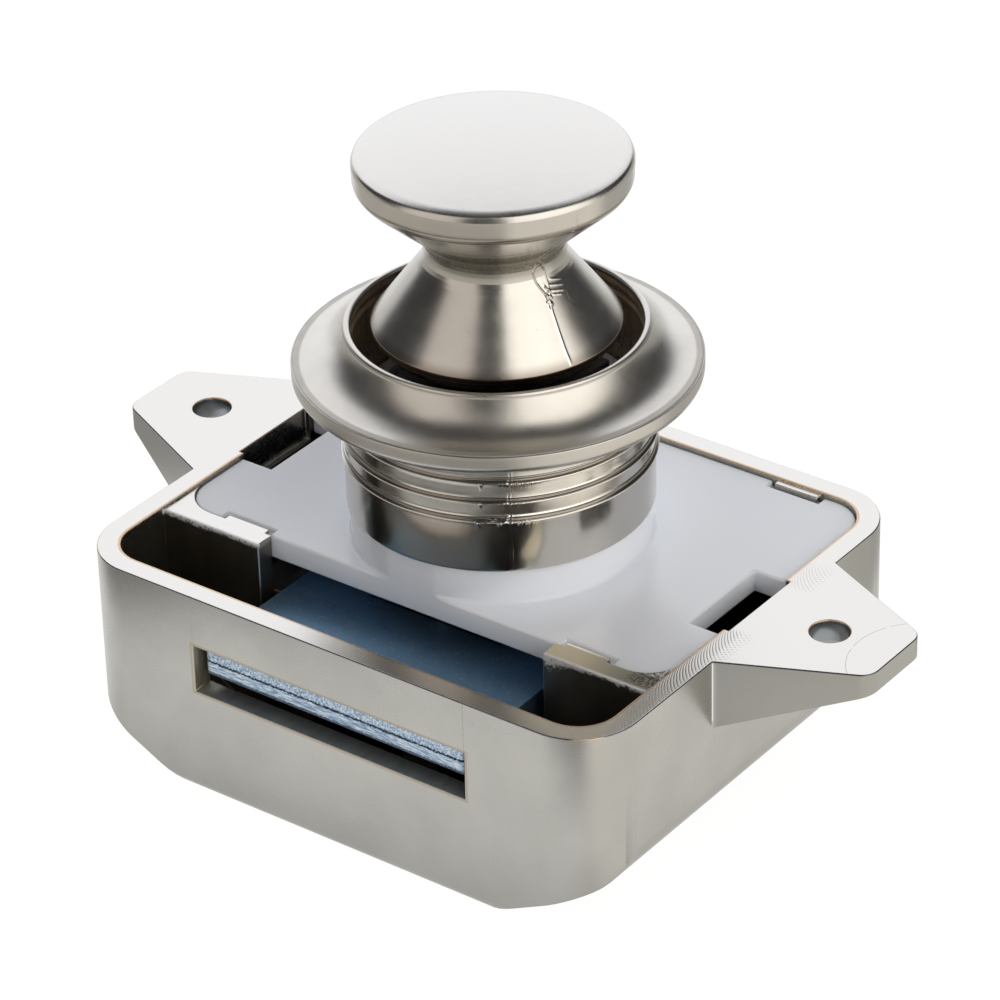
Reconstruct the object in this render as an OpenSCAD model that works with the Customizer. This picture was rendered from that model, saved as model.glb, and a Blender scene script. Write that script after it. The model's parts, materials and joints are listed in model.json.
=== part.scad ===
// Push button cabinet lock for a board door, in millimetres.
// The origin is on the knob's axis, on the plane that the door's back face rests on. +Z points out through
// the door to the knob, -Y is the side that the bolt comes out of, and +X is to the right.
// At rest the knob stands out and the bolt is drawn in. Pushing the knob in drives the bolt out.

/* [Casing] */
// Width across the side walls
case_w = 53.9; // [52.6:0.1:60]
// Distance from the knob's axis to the front face
case_front = 24.4; // [23.6:0.1:28]
// Distance from the knob's axis to the back face
case_back = 20.7; // [20.6:0.1:26]
// Height from the rim to the underside
case_h = 19.6; // [19.2:0.1:24]
// Thickness of the walls
case_wall = 2; // [1.6:0.1:2.2]
// Thickness of the floor
case_floor = 1.8; // [1.4:0.1:2.1]
// Radius of the outer corners, seen from above
case_corner_r = 5.5; // [4.5:0.1:6.5]
// Rounding of the bottom edge along the front and the back
case_edge_r = 1.4; // [0.5:0.1:1.8]
// Width of the sloping part of each side, towards the bottom
slope_w = 11.2; // [9:0.1:11.2]
// Height of that sloping part
slope_h = 5.6; // [4:0.1:5.8]
// Rounding where the side walls turn into the slope
slope_r = 3; // [1:0.1:4]

/* [Ears] */
// Distance from the knob's axis to the tip of each ear
ear_reach = 38.6; // [37:0.1:42]
// How far the ears' centre line lies behind the knob's axis
ear_y = 0.85; // [0:0.05:1.5]
// Width of an ear where it leaves the wall
ear_root_w = 18.2; // [16:0.1:20]
// Width of an ear at its tip
ear_tip_w = 7.5; // [6.5:0.1:9]
// Thickness of an ear where it leaves the wall
ear_root_t = 6.4; // [5.5:0.1:7]
// Thickness of an ear at its tip
ear_tip_t = 2; // [1.6:0.1:2.4]
// Rounding of the tip's corners
ear_tip_r = 1; // [0.5:0.1:2]
// Distance between the two screw holes
screw_spacing = 64.5; // [63.5:0.1:67]
// Radius of a screw hole
screw_r = 1.7; // [1.5:0.05:2]
// Radius of the flat seat under a screw's head
screw_seat_r = 3.1; // [2.8:0.1:3.3]
// Metal left between the rim plane and that seat
screw_seat_t = 2; // [1.6:0.1:2.4]

/* [Ribs and stakes] */
// Distance from the knob's axis to the front face of the cross ribs
rib_front = 14.54; // [14.2:0.02:14.8]
// Thickness of a cross rib
rib_t = 1.84; // [1.6:0.02:2]
// Half the gap between the two cross ribs
rib_gap_half = 14.7; // [14.4:0.1:15.2]
// How far the ribs' tops lie below the rim
rib_drop = 0.25; // [0.1:0.05:0.4]
// Fillet between a rib and the wall, on the cover's side
rib_fillet_r = 3.6; // [2:0.1:4]
// Width of a stake that laps over the cover
stake_w = 4.3; // [3:0.1:5]
// How far a stake laps over the cover
stake_reach = 0.62; // [0.4:0.02:0.9]
// Distance from the knob's axis to a stake's middle
stake_x = 17.6; // [17:0.1:18.4]

/* [Cover plate] */
// How far the cover's top lies below the rim
cover_drop = 0.35; // [0.3:0.05:0.6]
// Thickness of the plate
cover_t = 2.15; // [1.8:0.05:2.6]
// Gap between the cover and what it drops in between
cover_gap = 0.05; // [0.03:0.01:0.2]
// Length of a side notch
notch_len = 9.65; // [8:0.05:10.5]
// Depth of a side notch, from the wall's inner face
notch_depth = 3.2; // [2.4:0.1:4]
// Depth of the recesses that the stakes lie in
recess_depth = 0.5; // [0.3:0.05:0.8]
// How far a recess runs past its stake
recess_margin = 0.45; // [0.2:0.05:0.6]
// Radius of the boss that the rosette stands on
boss_r = 12.8; // [12.7:0.05:12.95]
// Height of the boss above the rim
boss_h = 2.83; // [1.5:0.01:3.5]
// Fillet between the boss and the plate
boss_fillet = 0.4; // [0.2:0.1:1]
// Height of the guide tube's end above the rim
tube_top = 11.5; // [8:0.1:13]
// Radius of the guide tube's bore
tube_bore_r = 10.8; // [10.7:0.05:11]
// Height above the rim of the underside of the plunger's guide
guide_z = 1.4; // [1.2:0.05:1.6]
// Thickness of the plunger's guide
guide_t = 2.6; // [2:0.1:3]

/* [Rosette] */
// Radius of the rosette's sleeve, which fills the hole in the door
sleeve_r = 13; // [12.9:0.05:13.5]
// Thickness of the sleeve's wall
sleeve_wall = 0.8; // [0.6:0.05:0.85]
// Thickness of the door board, from the rim to the flange
board_t = 14.4; // [14:0.1:18]
// Radius of the flange
flange_r = 17.1; // [16.5:0.1:19]
// Height of the flange's side band
flange_band = 1.7; // [1.2:0.1:2.2]
// Height from the flange's underside to the top of its lip
flange_h = 4.75; // [4.4:0.05:5.4]
// Radius of the opening at the lip
mouth_r = 12.1; // [11.95:0.05:12.3]
// Width of the rolled lip
lip_w = 0.8; // [0.6:0.05:1]
// Number of grip ribs on the sleeve
grip_count = 3; // [1:1:3]
// Height of the lowest grip rib above the sleeve's lower end
grip_first = 5.07; // [4.5:0.01:6]
// Distance from one grip rib to the next
grip_pitch = 1.8; // [1.4:0.05:2]
// How far a grip rib stands out
grip_out = 0.35; // [0.2:0.05:0.5]
// Width of a grip rib at its root
grip_w = 0.7; // [0.4:0.05:1]

/* [Knob] */
// Height of the knob's top above the rosette's lip
knob_rise = 16.35; // [16.2:0.05:18]
// Radius of the knob's head
head_r = 11.5; // [11:0.05:11.6]
// Rise of the domed face
dome_rise = 0.95; // [0.5:0.05:1.5]
// Height of the head's side band
head_band = 2.15; // [1.8:0.05:2.4]
// Radius of the knob's neck
neck_r = 5.96; // [5.6:0.02:6.3]
// Distance from the knob's top down to the corner that the neck rounds off
neck_depth = 8.9; // [8.6:0.1:9.2]
// Rounding of the neck
neck_fillet = 2.3; // [2:0.1:2.6]
// Radius of the knob's skirt
skirt_r = 10.5; // [10.1:0.05:10.5]
// Height of the knob from its lower edge to its top
knob_h = 17.7; // [17.4:0.1:18]
// Height of the skirt's straight edge
skirt_edge = 1.2; // [0.8:0.1:1.6]
// Depth of the hollow under the skirt
skirt_hollow = 2; // [1:0.1:2.4]
// Thickness of the skirt round that hollow
skirt_wall = 1.6; // [1.2:0.1:2]
// How far the knob is pushed in
knob_travel = 13.5; // [12.8:0.1:13.6]

/* [Plunger] */
// Width of the plunger's block
plunger_w = 13; // [12.8:0.1:13.4]
// Depth of the plunger's block
plunger_d = 13.5; // [13.3:0.1:13.7]
// Height of the block's lower face, below the rim
plunger_drop = 3.6; // [3.5:0.05:3.7]
// Height of the block
plunger_h = 17.9; // [17.4:0.1:18.1]
// Radius of the stem that the knob sits on
stem_r = 4.4; // [4:0.1:4.6]
// Length of the stem inside the knob
stem_in_knob = 6.3; // [5:0.1:6.8]
// Gap between the plunger and its guide, on each side
plunger_gap = 0.25; // [0.15:0.05:0.35]
// Depth of the slanting groove in each flank
groove_depth = 1.8; // [1.5:0.05:1.9]
// Depth of the heart-shaped track in the front face
track_depth = 1.2; // [1:0.05:1.4]
// How far the track's holding notch lies below its upper end
notch_drop = 1; // [0.6:0.1:1.4]
// Height of the track's return corner above its lower end
return_rise = 4; // [3:0.1:6]
// Radius of the spring's bore
spring_bore_r = 3.3; // [3.2:0.05:3.4]
// Depth of the spring's bore
spring_bore_h = 11.6; // [11.4:0.1:12]

/* [Bolt] */
// Width of the bolt plate
bolt_w = 27; // [26:0.1:27.5]
// Thickness of the bolt plate
bolt_t = 3; // [2.6:0.1:3.1]
// Distance from the rim down to the plate's top
bolt_drop = 5; // [4.9:0.05:5.2]
// How far the bolt's nose stays behind the casing's front face
nose_set_back = 0.8; // [0.4:0.05:1.2]
// Rounding of the nose's upper edge
nose_top_r = 0.35; // [0.2:0.05:0.8]
// Rounding of the nose's lower edge
nose_low_r = 0.8; // [0.5:0.05:1.3]
// Gap between the bolt plate's back end and the casing's back wall
bolt_back_gap = 0.4; // [0.3:0.05:0.6]
// How far the bolt comes out
bolt_travel = 8.5; // [7.8:0.1:8.6]
// Rounding of the plate's corners
bolt_corner_r = 0.6; // [0.3:0.1:1]
// Gap between the plate and the ends of its slot
slot_gap = 0.48; // [0.3:0.02:0.6]
// Gap above the plate in its slot
slot_gap_top = 0.17; // [0.12:0.01:0.3]
// Gap below the plate in its slot
slot_gap_below = 1.25; // [0.5:0.05:1.4]

/* [Drive] */
// Thickness of the brackets' sheet
bracket_t = 1.2; // [1:0.1:1.3]
// Length of a bracket's foot
foot_len = 7.6; // [7:0.1:8]
// Width of a bracket's foot
foot_w = 5.2; // [4.6:0.1:5.8]
// Radius of a bracket's rounded ear
bracket_ear_r = 1.9; // [1.6:0.05:1.95]
// Radius of a drive pin
pin_r = 1; // [0.9:0.05:1.1]
// Distance from the rim down to the drive pins' axis
pin_drop = 1.2; // [1.1:0.05:1.4]
// Running gap round a drive pin in its groove
pin_gap = 0.1; // [0.05:0.01:0.15]
// Radius of a rivet's shank
rivet_r = 0.9; // [0.8:0.05:1]
// Radius of a rivet's or a pin's head
rivet_head_r = 1.5; // [1.3:0.05:1.6]
// Height of a rivet's or a pin's head
rivet_head_h = 0.6; // [0.4:0.05:0.65]

/* [Spring and follower] */
// Thickness of the main spring's wire
spring_wire = 0.6; // [0.5:0.05:0.7]
// Outer diameter of the main spring
spring_d = 5.7; // [5.4:0.1:5.9]
// Number of turns of the main spring
spring_turns = 11; // [8:1:12]
// Height of the post that centres the spring
spring_post_h = 3; // [2:0.1:4]
// Thickness of the washer on the spring
washer_t = 0.6; // [0.5:0.05:0.8]
// Radius of the washer's hole
washer_bore_r = 1.7; // [1.4:0.05:1.9]
// Radius of the knob screw's shank
knob_screw_r = 1.5; // [1.4:0.05:1.7]
// Radius of the knob screw's head
knob_screw_head_r = 2.8; // [2.4:0.05:2.9]
// Height of the knob screw's head
knob_screw_head_h = 1.8; // [1.6:0.1:2]
// Length of the knob screw's thread in the knob
knob_thread = 5.5; // [4:0.1:6.5]
// Radius of the follower's wire
follower_r = 0.6; // [0.5:0.05:0.65]
// Height of the follower's pivot above the floor
pivot_h = 1.8; // [1.7:0.05:2]
// Distance from the rim down to the follower's tip
tip_drop = 1.5; // [1.4:0.05:1.7]
// How far the follower's leg stands in front of the plunger
leg_stand_off = 1.75; // [1.7:0.05:1.8]
// How far the follower's tip moves sideways in its track
tip_shift = 1.6; // [1.3:0.05:1.7]
// Gap round the follower in the track
track_gap = 0.25; // [0.2:0.05:0.35]
// Running gap round the follower's pivot
pivot_gap = 0.05; // [0.03:0.01:0.08]

/* [Hidden] */

// A cut runs this far past a face
over = 1;
// A solid runs this far into the solid it grows from
bite = 0.4;
// Gap above or below a flat face that slides
slide_gap = 0.1;
// Gap beside a piece that slides in a guide, or round the guide tube
guide_gap = 0.15;
// Gap round a piece that stands free
free_gap = 0.3;
// Gap of a hole round a screw, and of the knob's socket round the stem
screw_gap = 0.1;
stem_gap = 0.05;
// Facets round a large and a small circle, and steps of a fillet
round_fn = 96;
small_fn = 48;
arc_steps = 6;

half_w = case_w / 2;
inner_half_w = half_w - case_wall;
inner_front = case_front - case_wall;
inner_back = case_back - case_wall;
inner_corner_r = case_corner_r - case_wall;
floor_z = case_floor - case_h;
slope_angle = atan2(slope_h, slope_w);
// The inner slope runs parallel to the outer one at a wall's thickness
inner_slope_z = slope_h - case_h + case_wall * tan((90 - slope_angle) / 2);
inner_slope_x = inner_half_w - (inner_slope_z - floor_z) / tan(slope_angle);

screw_x = screw_spacing / 2;
rib_back = rib_front - rib_t;
cover_front = rib_back - cover_gap;
cover_back = inner_back - cover_gap;
cover_bottom = -cover_drop - cover_t;
recess_z = -cover_drop - recess_depth;

tube_r = sleeve_r - sleeve_wall - guide_gap;
guide_top = guide_z + guide_t;

bolt_top = -bolt_drop;
bolt_bottom = bolt_top - bolt_t;
bolt_nose = nose_set_back - case_front;
bolt_back = inner_back - bolt_back_gap;
rail_top = bolt_bottom - slide_gap;

plunger_bottom = -plunger_drop;
plunger_top = plunger_bottom + plunger_h;
plunger_half_w = plunger_w / 2;
plunger_half_d = plunger_d / 2;
spring_seat_z = plunger_bottom + spring_bore_h;
knob_top = board_t + flange_h + knob_rise;
knob_bottom = knob_top - knob_h;
stem_top = knob_bottom + stem_in_knob;

// The pins cross the plunger's axis half way through the stroke
pin_y = bolt_travel / 2;
pin_z = -pin_drop;
ear_inner_x = plunger_half_w + free_gap;
foot_top = bolt_top + bracket_t;
// The rivets' heads keep this far inside the ends of the foot
rivet_margin = 0.2;
rivet_x = ear_inner_x + (bracket_t + foot_w) / 2;
rivet_pitch = foot_len - 2 * (rivet_head_r + rivet_margin);

window_half_w = ear_inner_x;
window_gap = 0.5;
leg_y = -plunger_half_d - leg_stand_off;
window_front = leg_y - follower_r - window_gap;
window_back = plunger_half_d + bolt_travel + window_gap;

pivot_z = floor_z + pivot_h;
tip_z = -tip_drop;
pivot_boss_w = 3.6;
pivot_boss_len = 3;
pivot_boss_front = leg_y - follower_r - free_gap - pivot_boss_len;
// The track's upper end, where the tip stands when the knob is fully in
track_end_z = tip_z + knob_travel;

// Unit vector of v
function unit(v) = v / norm(v);

// Difference of two angles, between -180 and 180 degrees
function turn(from, to) = (to - from + 540) % 360 - 180;

// Points of the fillet of radius r at one corner of an outline
function corner(before, at, after, r) =
    r <= 0 ? [at] :
    let (u = unit(before - at),
         w = unit(after - at),
         half = acos(u * w) / 2,
         centre = at + unit(u + w) * r / sin(half),
         start = at + u * r / tan(half) - centre,
         end = at + w * r / tan(half) - centre,
         a0 = atan2(start.y, start.x),
         sweep = turn(a0, atan2(end.y, end.x)))
    [for (i = [0 : arc_steps])
        let (a = a0 + sweep * i / arc_steps)
        centre + r * [cos(a), sin(a)]];

// Outline through corners given as [x, y, fillet radius]
function outline(p) =
    let (n = len(p))
    [for (i = [0 : n - 1])
        let (a = p[(i + n - 1) % n], b = p[i], c = p[(i + 1) % n])
        each corner([a.x, a.y], [b.x, b.y], [c.x, c.y], b.z)];

// Points of an arc about a centre
function arc(centre, r, from, to, steps) =
    [for (i = [0 : steps])
        let (a = from + (to - from) * i / steps)
        centre + r * [cos(a), sin(a)]];

// Rectangle from low to high with true round corners
module round_rect(low, high, r) {
    translate([low.x + r, low.y]) square([high.x - low.x - 2 * r, high.y - low.y]);
    translate([low.x, low.y + r]) square([high.x - low.x, high.y - low.y - 2 * r]);
    for (x = [low.x + r, high.x - r], y = [low.y + r, high.y - r])
        translate([x, y]) circle(r = r, $fn = small_fn);
}

// Box between two opposite corners
module box(low, high) {
    translate(low) cube(high - low);
}

// Small upright cylinder
module rod(r, h) {
    cylinder(r = r, h = h, $fn = small_fn);
}

// The same shape on both sides of the YZ plane
module both_sides() {
    children();
    mirror([1, 0, 0]) children();
}

// An outline in X and Z, as deep as from y0 to y1
module prism_y(y0, y1) {
    translate([0, y1, 0]) rotate([90, 0, 0]) linear_extrude(y1 - y0) children();
}

// An outline in Y and Z, as wide as from x0 to x1
module prism_x(x0, x1) {
    translate([x0, 0, 0]) rotate([90, 0, 90]) linear_extrude(x1 - x0) children();
}

// Groove with round ends from one point to another
module slot_2d(from, to, r) {
    for (p = [from, to]) translate(p) circle(r = r, $fn = small_fn);
    translate(from) rotate(atan2(to.y - from.y, to.x - from.x))
        translate([0, -r]) square([norm(to - from), 2 * r]);
}

// The casing's solid outer form, without its ears
module case_form() {
    intersection() {
        translate([0, 0, -case_h]) linear_extrude(case_h)
            round_rect([-half_w, -case_front], [half_w, case_back], case_corner_r);
        prism_y(-case_front - over, case_back + over)
            polygon(outline([[-half_w, over, 0], [-half_w, slope_h - case_h, slope_r],
                             [slope_w - half_w, -case_h, slope_r], [half_w - slope_w, -case_h, slope_r],
                             [half_w, slope_h - case_h, slope_r], [half_w, over, 0]]));
        prism_x(-half_w - over, half_w + over)
            polygon(outline([[-case_front, over, 0], [-case_front, -case_h, case_edge_r],
                             [case_back, -case_h, case_edge_r], [case_back, over, 0]]));
    }
}

// The room inside the casing
module case_room() {
    intersection() {
        translate([0, 0, floor_z]) linear_extrude(over - floor_z)
            round_rect([-inner_half_w, -inner_front], [inner_half_w, inner_back], inner_corner_r);
        prism_y(-inner_front - over, inner_back + over)
            polygon([[-inner_half_w, over * 2], [-inner_half_w, inner_slope_z], [-inner_slope_x, floor_z],
                     [inner_slope_x, floor_z], [inner_half_w, inner_slope_z], [inner_half_w, over * 2]]);
    }
}

// One screw ear, on the right
module ear() {
    side_slope = (ear_root_w - ear_tip_w) / 2 / (ear_reach - half_w);
    under_slope = (ear_root_t - ear_tip_t) / (ear_reach - half_w);
    root_half = ear_root_w / 2 + bite * side_slope;
    root_x = half_w - bite;
    tip_half = ear_tip_w / 2;
    difference() {
        intersection() {
            translate([0, 0, -ear_root_t - over]) linear_extrude(ear_root_t + over)
                polygon(outline([[root_x, ear_y - root_half, 0], [ear_reach, ear_y - tip_half, ear_tip_r],
                                 [ear_reach, ear_y + tip_half, ear_tip_r], [root_x, ear_y + root_half, 0]]));
            prism_y(ear_y - ear_root_w, ear_y + ear_root_w)
                polygon([[root_x, over], [root_x, -ear_root_t - bite * under_slope],
                         [ear_reach, -ear_tip_t], [ear_reach + over, -ear_tip_t], [ear_reach + over, over]]);
        }
        translate([screw_x, ear_y, -ear_root_t - over]) rod(screw_r, ear_root_t + 2 * over);
        translate([screw_x, ear_y, -ear_root_t - over])
            rod(screw_seat_r, ear_root_t + over - screw_seat_t);
    }
}

// One cross rib on the right, with its fillet to the wall behind it
module rib() {
    fillet_x = inner_half_w - rib_fillet_r;
    fillet_y = rib_fillet_r - rib_back;
    root_x = inner_half_w + bite;
    intersection() {
        case_form();
        union() {
            box([rib_gap_half, -rib_front, -case_h], [root_x, -rib_back, -rib_drop]);
            difference() {
                box([fillet_x, -rib_back - bite, -case_h], [root_x, fillet_y, -rib_drop]);
                translate([fillet_x, fillet_y, -case_h - over])
                    rod(rib_fillet_r, case_h + 2 * over);
            }
        }
    }
}

// Stake on the right at the back of a wall or rib face at y, lapping towards side 1 or -1
module stake(y, side) {
    tip = y + side * stake_reach;
    root = y - side * bite;
    half = stake_w / 2;
    box([stake_x - half, min(tip, root), recess_z], [stake_x + half, max(tip, root), -rib_drop]);
}

// Rail and guide cheek under the bolt's right edge
module rail() {
    lap = 2.3;
    cheek_t = 1.2;
    cheek_drop = 0.6;
    end_gap = 1.2;
    cheek_x = bolt_w / 2 + guide_gap;
    rail_back = inner_back - end_gap;
    intersection() {
        case_form();
        box([bolt_w / 2 - lap, -rib_back, -case_h], [cheek_x + cheek_t, rail_back, rail_top]);
    }
    box([cheek_x, -rib_back, rail_top - bite], [cheek_x + cheek_t, rail_back, bolt_top - cheek_drop]);
}

// Boss on the floor that the follower turns in
module pivot_boss() {
    half = pivot_boss_w / 2;
    difference() {
        union() {
            box([-half, pivot_boss_front, floor_z - bite],
                [half, pivot_boss_front + pivot_boss_len, pivot_z]);
            translate([0, pivot_boss_front, pivot_z]) rotate([-90, 0, 0])
                rod(half, pivot_boss_len);
        }
        translate([0, pivot_boss_front - over, pivot_z]) rotate([-90, 0, 0])
            rod(follower_r + pivot_gap, pivot_boss_len + 2 * over);
    }
}

module casing() {
    // The wall is thinned over most of a notch's length, a little deeper than the cover
    relief = 0.5;
    relief_margin = 0.3;
    relief_below = 0.6;
    relief_half = notch_len / 2 - relief_margin;
    relief_z = cover_bottom - relief_below;
    post_r = spring_d / 2 - spring_wire - free_gap;
    color([0.78, 0.76, 0.72]) union() {
        difference() {
            case_form();
            case_room();
            // Slot for the bolt
            box([-bolt_w / 2 - slot_gap, -case_front - over, bolt_bottom - slot_gap_below],
                [bolt_w / 2 + slot_gap, -inner_front + over, bolt_top + slot_gap_top]);
            // Thinned wall beside the cover's notches
            both_sides()
                box([inner_half_w - over, ear_y - relief_half, relief_z],
                    [inner_half_w + relief, ear_y + relief_half, over]);
        }
        both_sides() {
            ear();
            rib();
            stake(-rib_back, 1);
            stake(inner_back, -1);
            rail();
        }
        pivot_boss();
        translate([0, 0, floor_z - bite]) rod(post_r, bite + spring_post_h);
    }
}

module cover_plate() {
    fillet_x = inner_half_w - rib_fillet_r;
    recess_y = stake_reach + recess_margin;
    recess_low = stake_x - stake_w / 2 - recess_margin;
    recess_high = stake_x + stake_w / 2 + recess_margin;
    foot_r = boss_r + boss_fillet;
    pad_w = 3;
    pad_inset = 0.5;
    pad_back_gap = 2;
    pad_outer_x = bolt_w / 2 - pad_inset;
    pad_back = cover_back - pad_back_gap;
    color([0.93, 0.94, 0.97]) difference() {
        // The front face cuts the boss's foot off flush
        intersection() {
            box([-half_w, -cover_front, bolt_top], [half_w, case_back, tube_top + over]);
            union() {
                // The plate
                translate([0, 0, cover_bottom]) linear_extrude(cover_t)
                    round_rect([cover_gap - inner_half_w, -cover_front],
                               [inner_half_w - cover_gap, cover_back], inner_corner_r - cover_gap);
                // Round boss with a fillet at its foot, and the tube that the rosette slides on
                rotate_extrude($fn = round_fn)
                    polygon(concat([[0, cover_bottom], [foot_r, cover_bottom]],
                                   arc([foot_r, boss_fillet - cover_drop], boss_fillet, 270, 180, arc_steps),
                                   [[boss_r, boss_h], [tube_r, boss_h], [tube_r, tube_top], [0, tube_top]]));
                // Hold-down pads over the bolt's edges
                both_sides()
                    box([pad_outer_x - pad_w, pin_y + foot_len / 2 + free_gap, bolt_top + slide_gap],
                        [pad_outer_x, pad_back, cover_bottom + bite]);
            }
        }
        // Front corners drawn in round the ribs' fillets, notches, and recesses under the stakes
        both_sides() {
            difference() {
                box([fillet_x, -cover_front - over, cover_bottom - over],
                    [inner_half_w + over, rib_fillet_r - rib_back, over]);
                translate([fillet_x, rib_fillet_r - rib_back, cover_bottom - 2 * over])
                    rod(rib_fillet_r - cover_gap, cover_t + 4 * over);
            }
            box([inner_half_w - notch_depth, ear_y - notch_len / 2, cover_bottom - over],
                [inner_half_w + over, ear_y + notch_len / 2, over]);
            box([recess_low, -rib_back - over, recess_z], [recess_high, recess_y - rib_back, 0]);
            box([recess_low, inner_back - recess_y, recess_z], [recess_high, inner_back + over, 0]);
        }
        // Bore below and above the plunger's guide
        translate([0, 0, cover_bottom - over])
            cylinder(r = tube_bore_r, h = guide_z - cover_bottom + over, $fn = round_fn);
        translate([0, 0, guide_top])
            cylinder(r = tube_bore_r, h = tube_top - guide_top + over, $fn = round_fn);
        box([-plunger_half_w - plunger_gap, -plunger_half_d - plunger_gap, cover_bottom],
            [plunger_half_w + plunger_gap, plunger_half_d + plunger_gap, tube_top]);
    }
}

module rosette() {
    inner_r = sleeve_r - sleeve_wall;
    crease_z = board_t + flange_band;
    lip_top = board_t + flange_h;
    lip_r = mouth_r + lip_w / 2;
    lip_z = lip_top - lip_w / 2;
    edge_r = 1;
    crease = 0.1;
    // Height of the cone inside, from the sleeve's bore to the mouth
    throat_h = 1;
    // The hollow of the top runs from the crease up to the lip's foot, level at the crease
    foot_x = mouth_r + lip_w;
    crease_r = flange_r - crease;
    run = crease_r - foot_x;
    rise = lip_z - crease_z;
    scotia_r = (run * run + rise * rise) / (2 * rise);
    scotia_end = 270 - acos((scotia_r - rise) / scotia_r);
    grips = [for (i = [0 : grip_count - 1])
                let (z = boss_h + grip_first + i * grip_pitch)
                each [[sleeve_r, z - grip_w / 2], [sleeve_r + grip_out, z], [sleeve_r, z + grip_w / 2]]];
    color([0.75, 0.72, 0.68]) rotate_extrude($fn = round_fn)
        polygon(concat([[inner_r, boss_h], [sleeve_r, boss_h]],
                       grips,
                       [[sleeve_r, board_t]],
                       arc([flange_r - edge_r, board_t + edge_r], edge_r, 270, 360, arc_steps),
                       [[flange_r, crease_z - crease], [crease_r, crease_z]],
                       arc([crease_r, crease_z + scotia_r], scotia_r, 270, scotia_end, 2 * arc_steps),
                       arc([lip_r, lip_z], lip_w / 2, 0, 180, arc_steps),
                       [[mouth_r, board_t + throat_h], [inner_r, board_t]]));
}

module knob() {
    face_z = knob_top - dome_rise;
    band_z = face_z - head_band;
    neck_z = knob_top - neck_depth;
    // Where the head's underside and the skirt's cone would meet, about square, without the neck's rounding
    vertex_r = neck_r - neck_fillet * (sqrt(2) - 1);
    skirt_z = knob_bottom + skirt_edge;
    // The domed face ends in a small bevel, and the skirt in a band and a bevel
    face_steps = 7;
    face_bevel = [0.25, 0.35];
    skirt_bevel = 1;
    // Roundings from the face's edge down to the skirt's lower edge
    rounds = [0.2, 1.2, 0.8, 0.6, 0.6];
    face_r = head_r - face_bevel.x;
    face_drop = dome_rise - face_bevel.y / 2;
    face_end = knob_top - face_drop;
    face = [for (i = [0 : face_steps - 1])
               let (t = i / face_steps)
               [face_r * t, knob_top - face_drop * t * t]];
    side = outline([[face_r, face_end, 0], [head_r, face_end - face_bevel.y, rounds[0]],
                    [head_r, band_z, rounds[1]], [vertex_r, neck_z, neck_fillet],
                    [skirt_r, skirt_z + skirt_bevel, rounds[2]], [skirt_r, skirt_z, rounds[3]],
                    [skirt_r - skirt_bevel, knob_bottom, rounds[4]], [0, knob_bottom, 0]]);
    color([0.8, 0.78, 0.74]) difference() {
        rotate_extrude($fn = round_fn) polygon(concat(face, side));
        translate([0, 0, knob_bottom - over])
            cylinder(r = skirt_r - skirt_wall, h = skirt_hollow + over, $fn = round_fn);
        // Socket for the stem, and the screw's blind hole above it
        translate([0, 0, knob_bottom]) rod(stem_r + stem_gap, stem_in_knob + screw_gap);
        translate([0, 0, stem_top]) rod(knob_screw_r, knob_thread + free_gap);
    }
}

module plunger() {
    groove_low = [pin_y, pin_z];
    groove_high = [pin_y - bolt_travel, pin_z + knob_travel];
    track_r = follower_r + track_gap;
    notch_z = track_end_z - notch_drop;
    back_x = -tip_shift;
    back_z = tip_z + return_rise;
    color([0.2, 0.2, 0.22]) difference() {
        union() {
            box([-plunger_half_w, -plunger_half_d, plunger_bottom],
                [plunger_half_w, plunger_half_d, plunger_top]);
            translate([0, 0, plunger_top - bite]) rod(stem_r, stem_top - plunger_top + bite);
        }
        // Slanting grooves in the flanks
        both_sides()
            prism_x(plunger_half_w - groove_depth, plunger_half_w + over)
                slot_2d(groove_low, groove_high, pin_r + pin_gap);
        // Heart-shaped track: out to the right, across the notch that holds the knob in, and back on the left
        prism_y(-plunger_half_d - over, track_depth - plunger_half_d) {
            slot_2d([0, tip_z], [tip_shift, track_end_z], track_r);
            slot_2d([tip_shift, track_end_z], [0, notch_z], track_r);
            slot_2d([0, notch_z], [back_x, track_end_z], track_r);
            slot_2d([back_x, track_end_z], [back_x, back_z], track_r);
            slot_2d([back_x, back_z], [0, tip_z], track_r);
        }
        translate([0, 0, plunger_bottom - over])
            rod(spring_bore_r, spring_bore_h + over);
        translate([0, 0, spring_seat_z - over])
            rod(knob_screw_r + screw_gap, stem_top - spring_seat_z + 2 * over);
    }
}

module knob_screw() {
    recess = [3, 0.7, 2];
    head_z = spring_seat_z - knob_screw_head_h;
    color([0.7, 0.7, 0.72]) difference() {
        union() {
            translate([0, 0, head_z]) rod(knob_screw_head_r, knob_screw_head_h);
            translate([0, 0, spring_seat_z - bite])
                rod(knob_screw_r, stem_top + knob_thread - spring_seat_z + bite);
        }
        // Cross recess
        for (a = [0, 90])
            translate([0, 0, head_z]) rotate(a) cube(recess, center = true);
    }
}

module spring_washer() {
    bottom = spring_seat_z - knob_screw_head_h - washer_t;
    color([0.6, 0.6, 0.62]) difference() {
        translate([0, 0, bottom]) rod(spring_bore_r - free_gap, washer_t);
        translate([0, 0, bottom - over]) rod(washer_bore_r, washer_t + 2 * over);
    }
}

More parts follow.
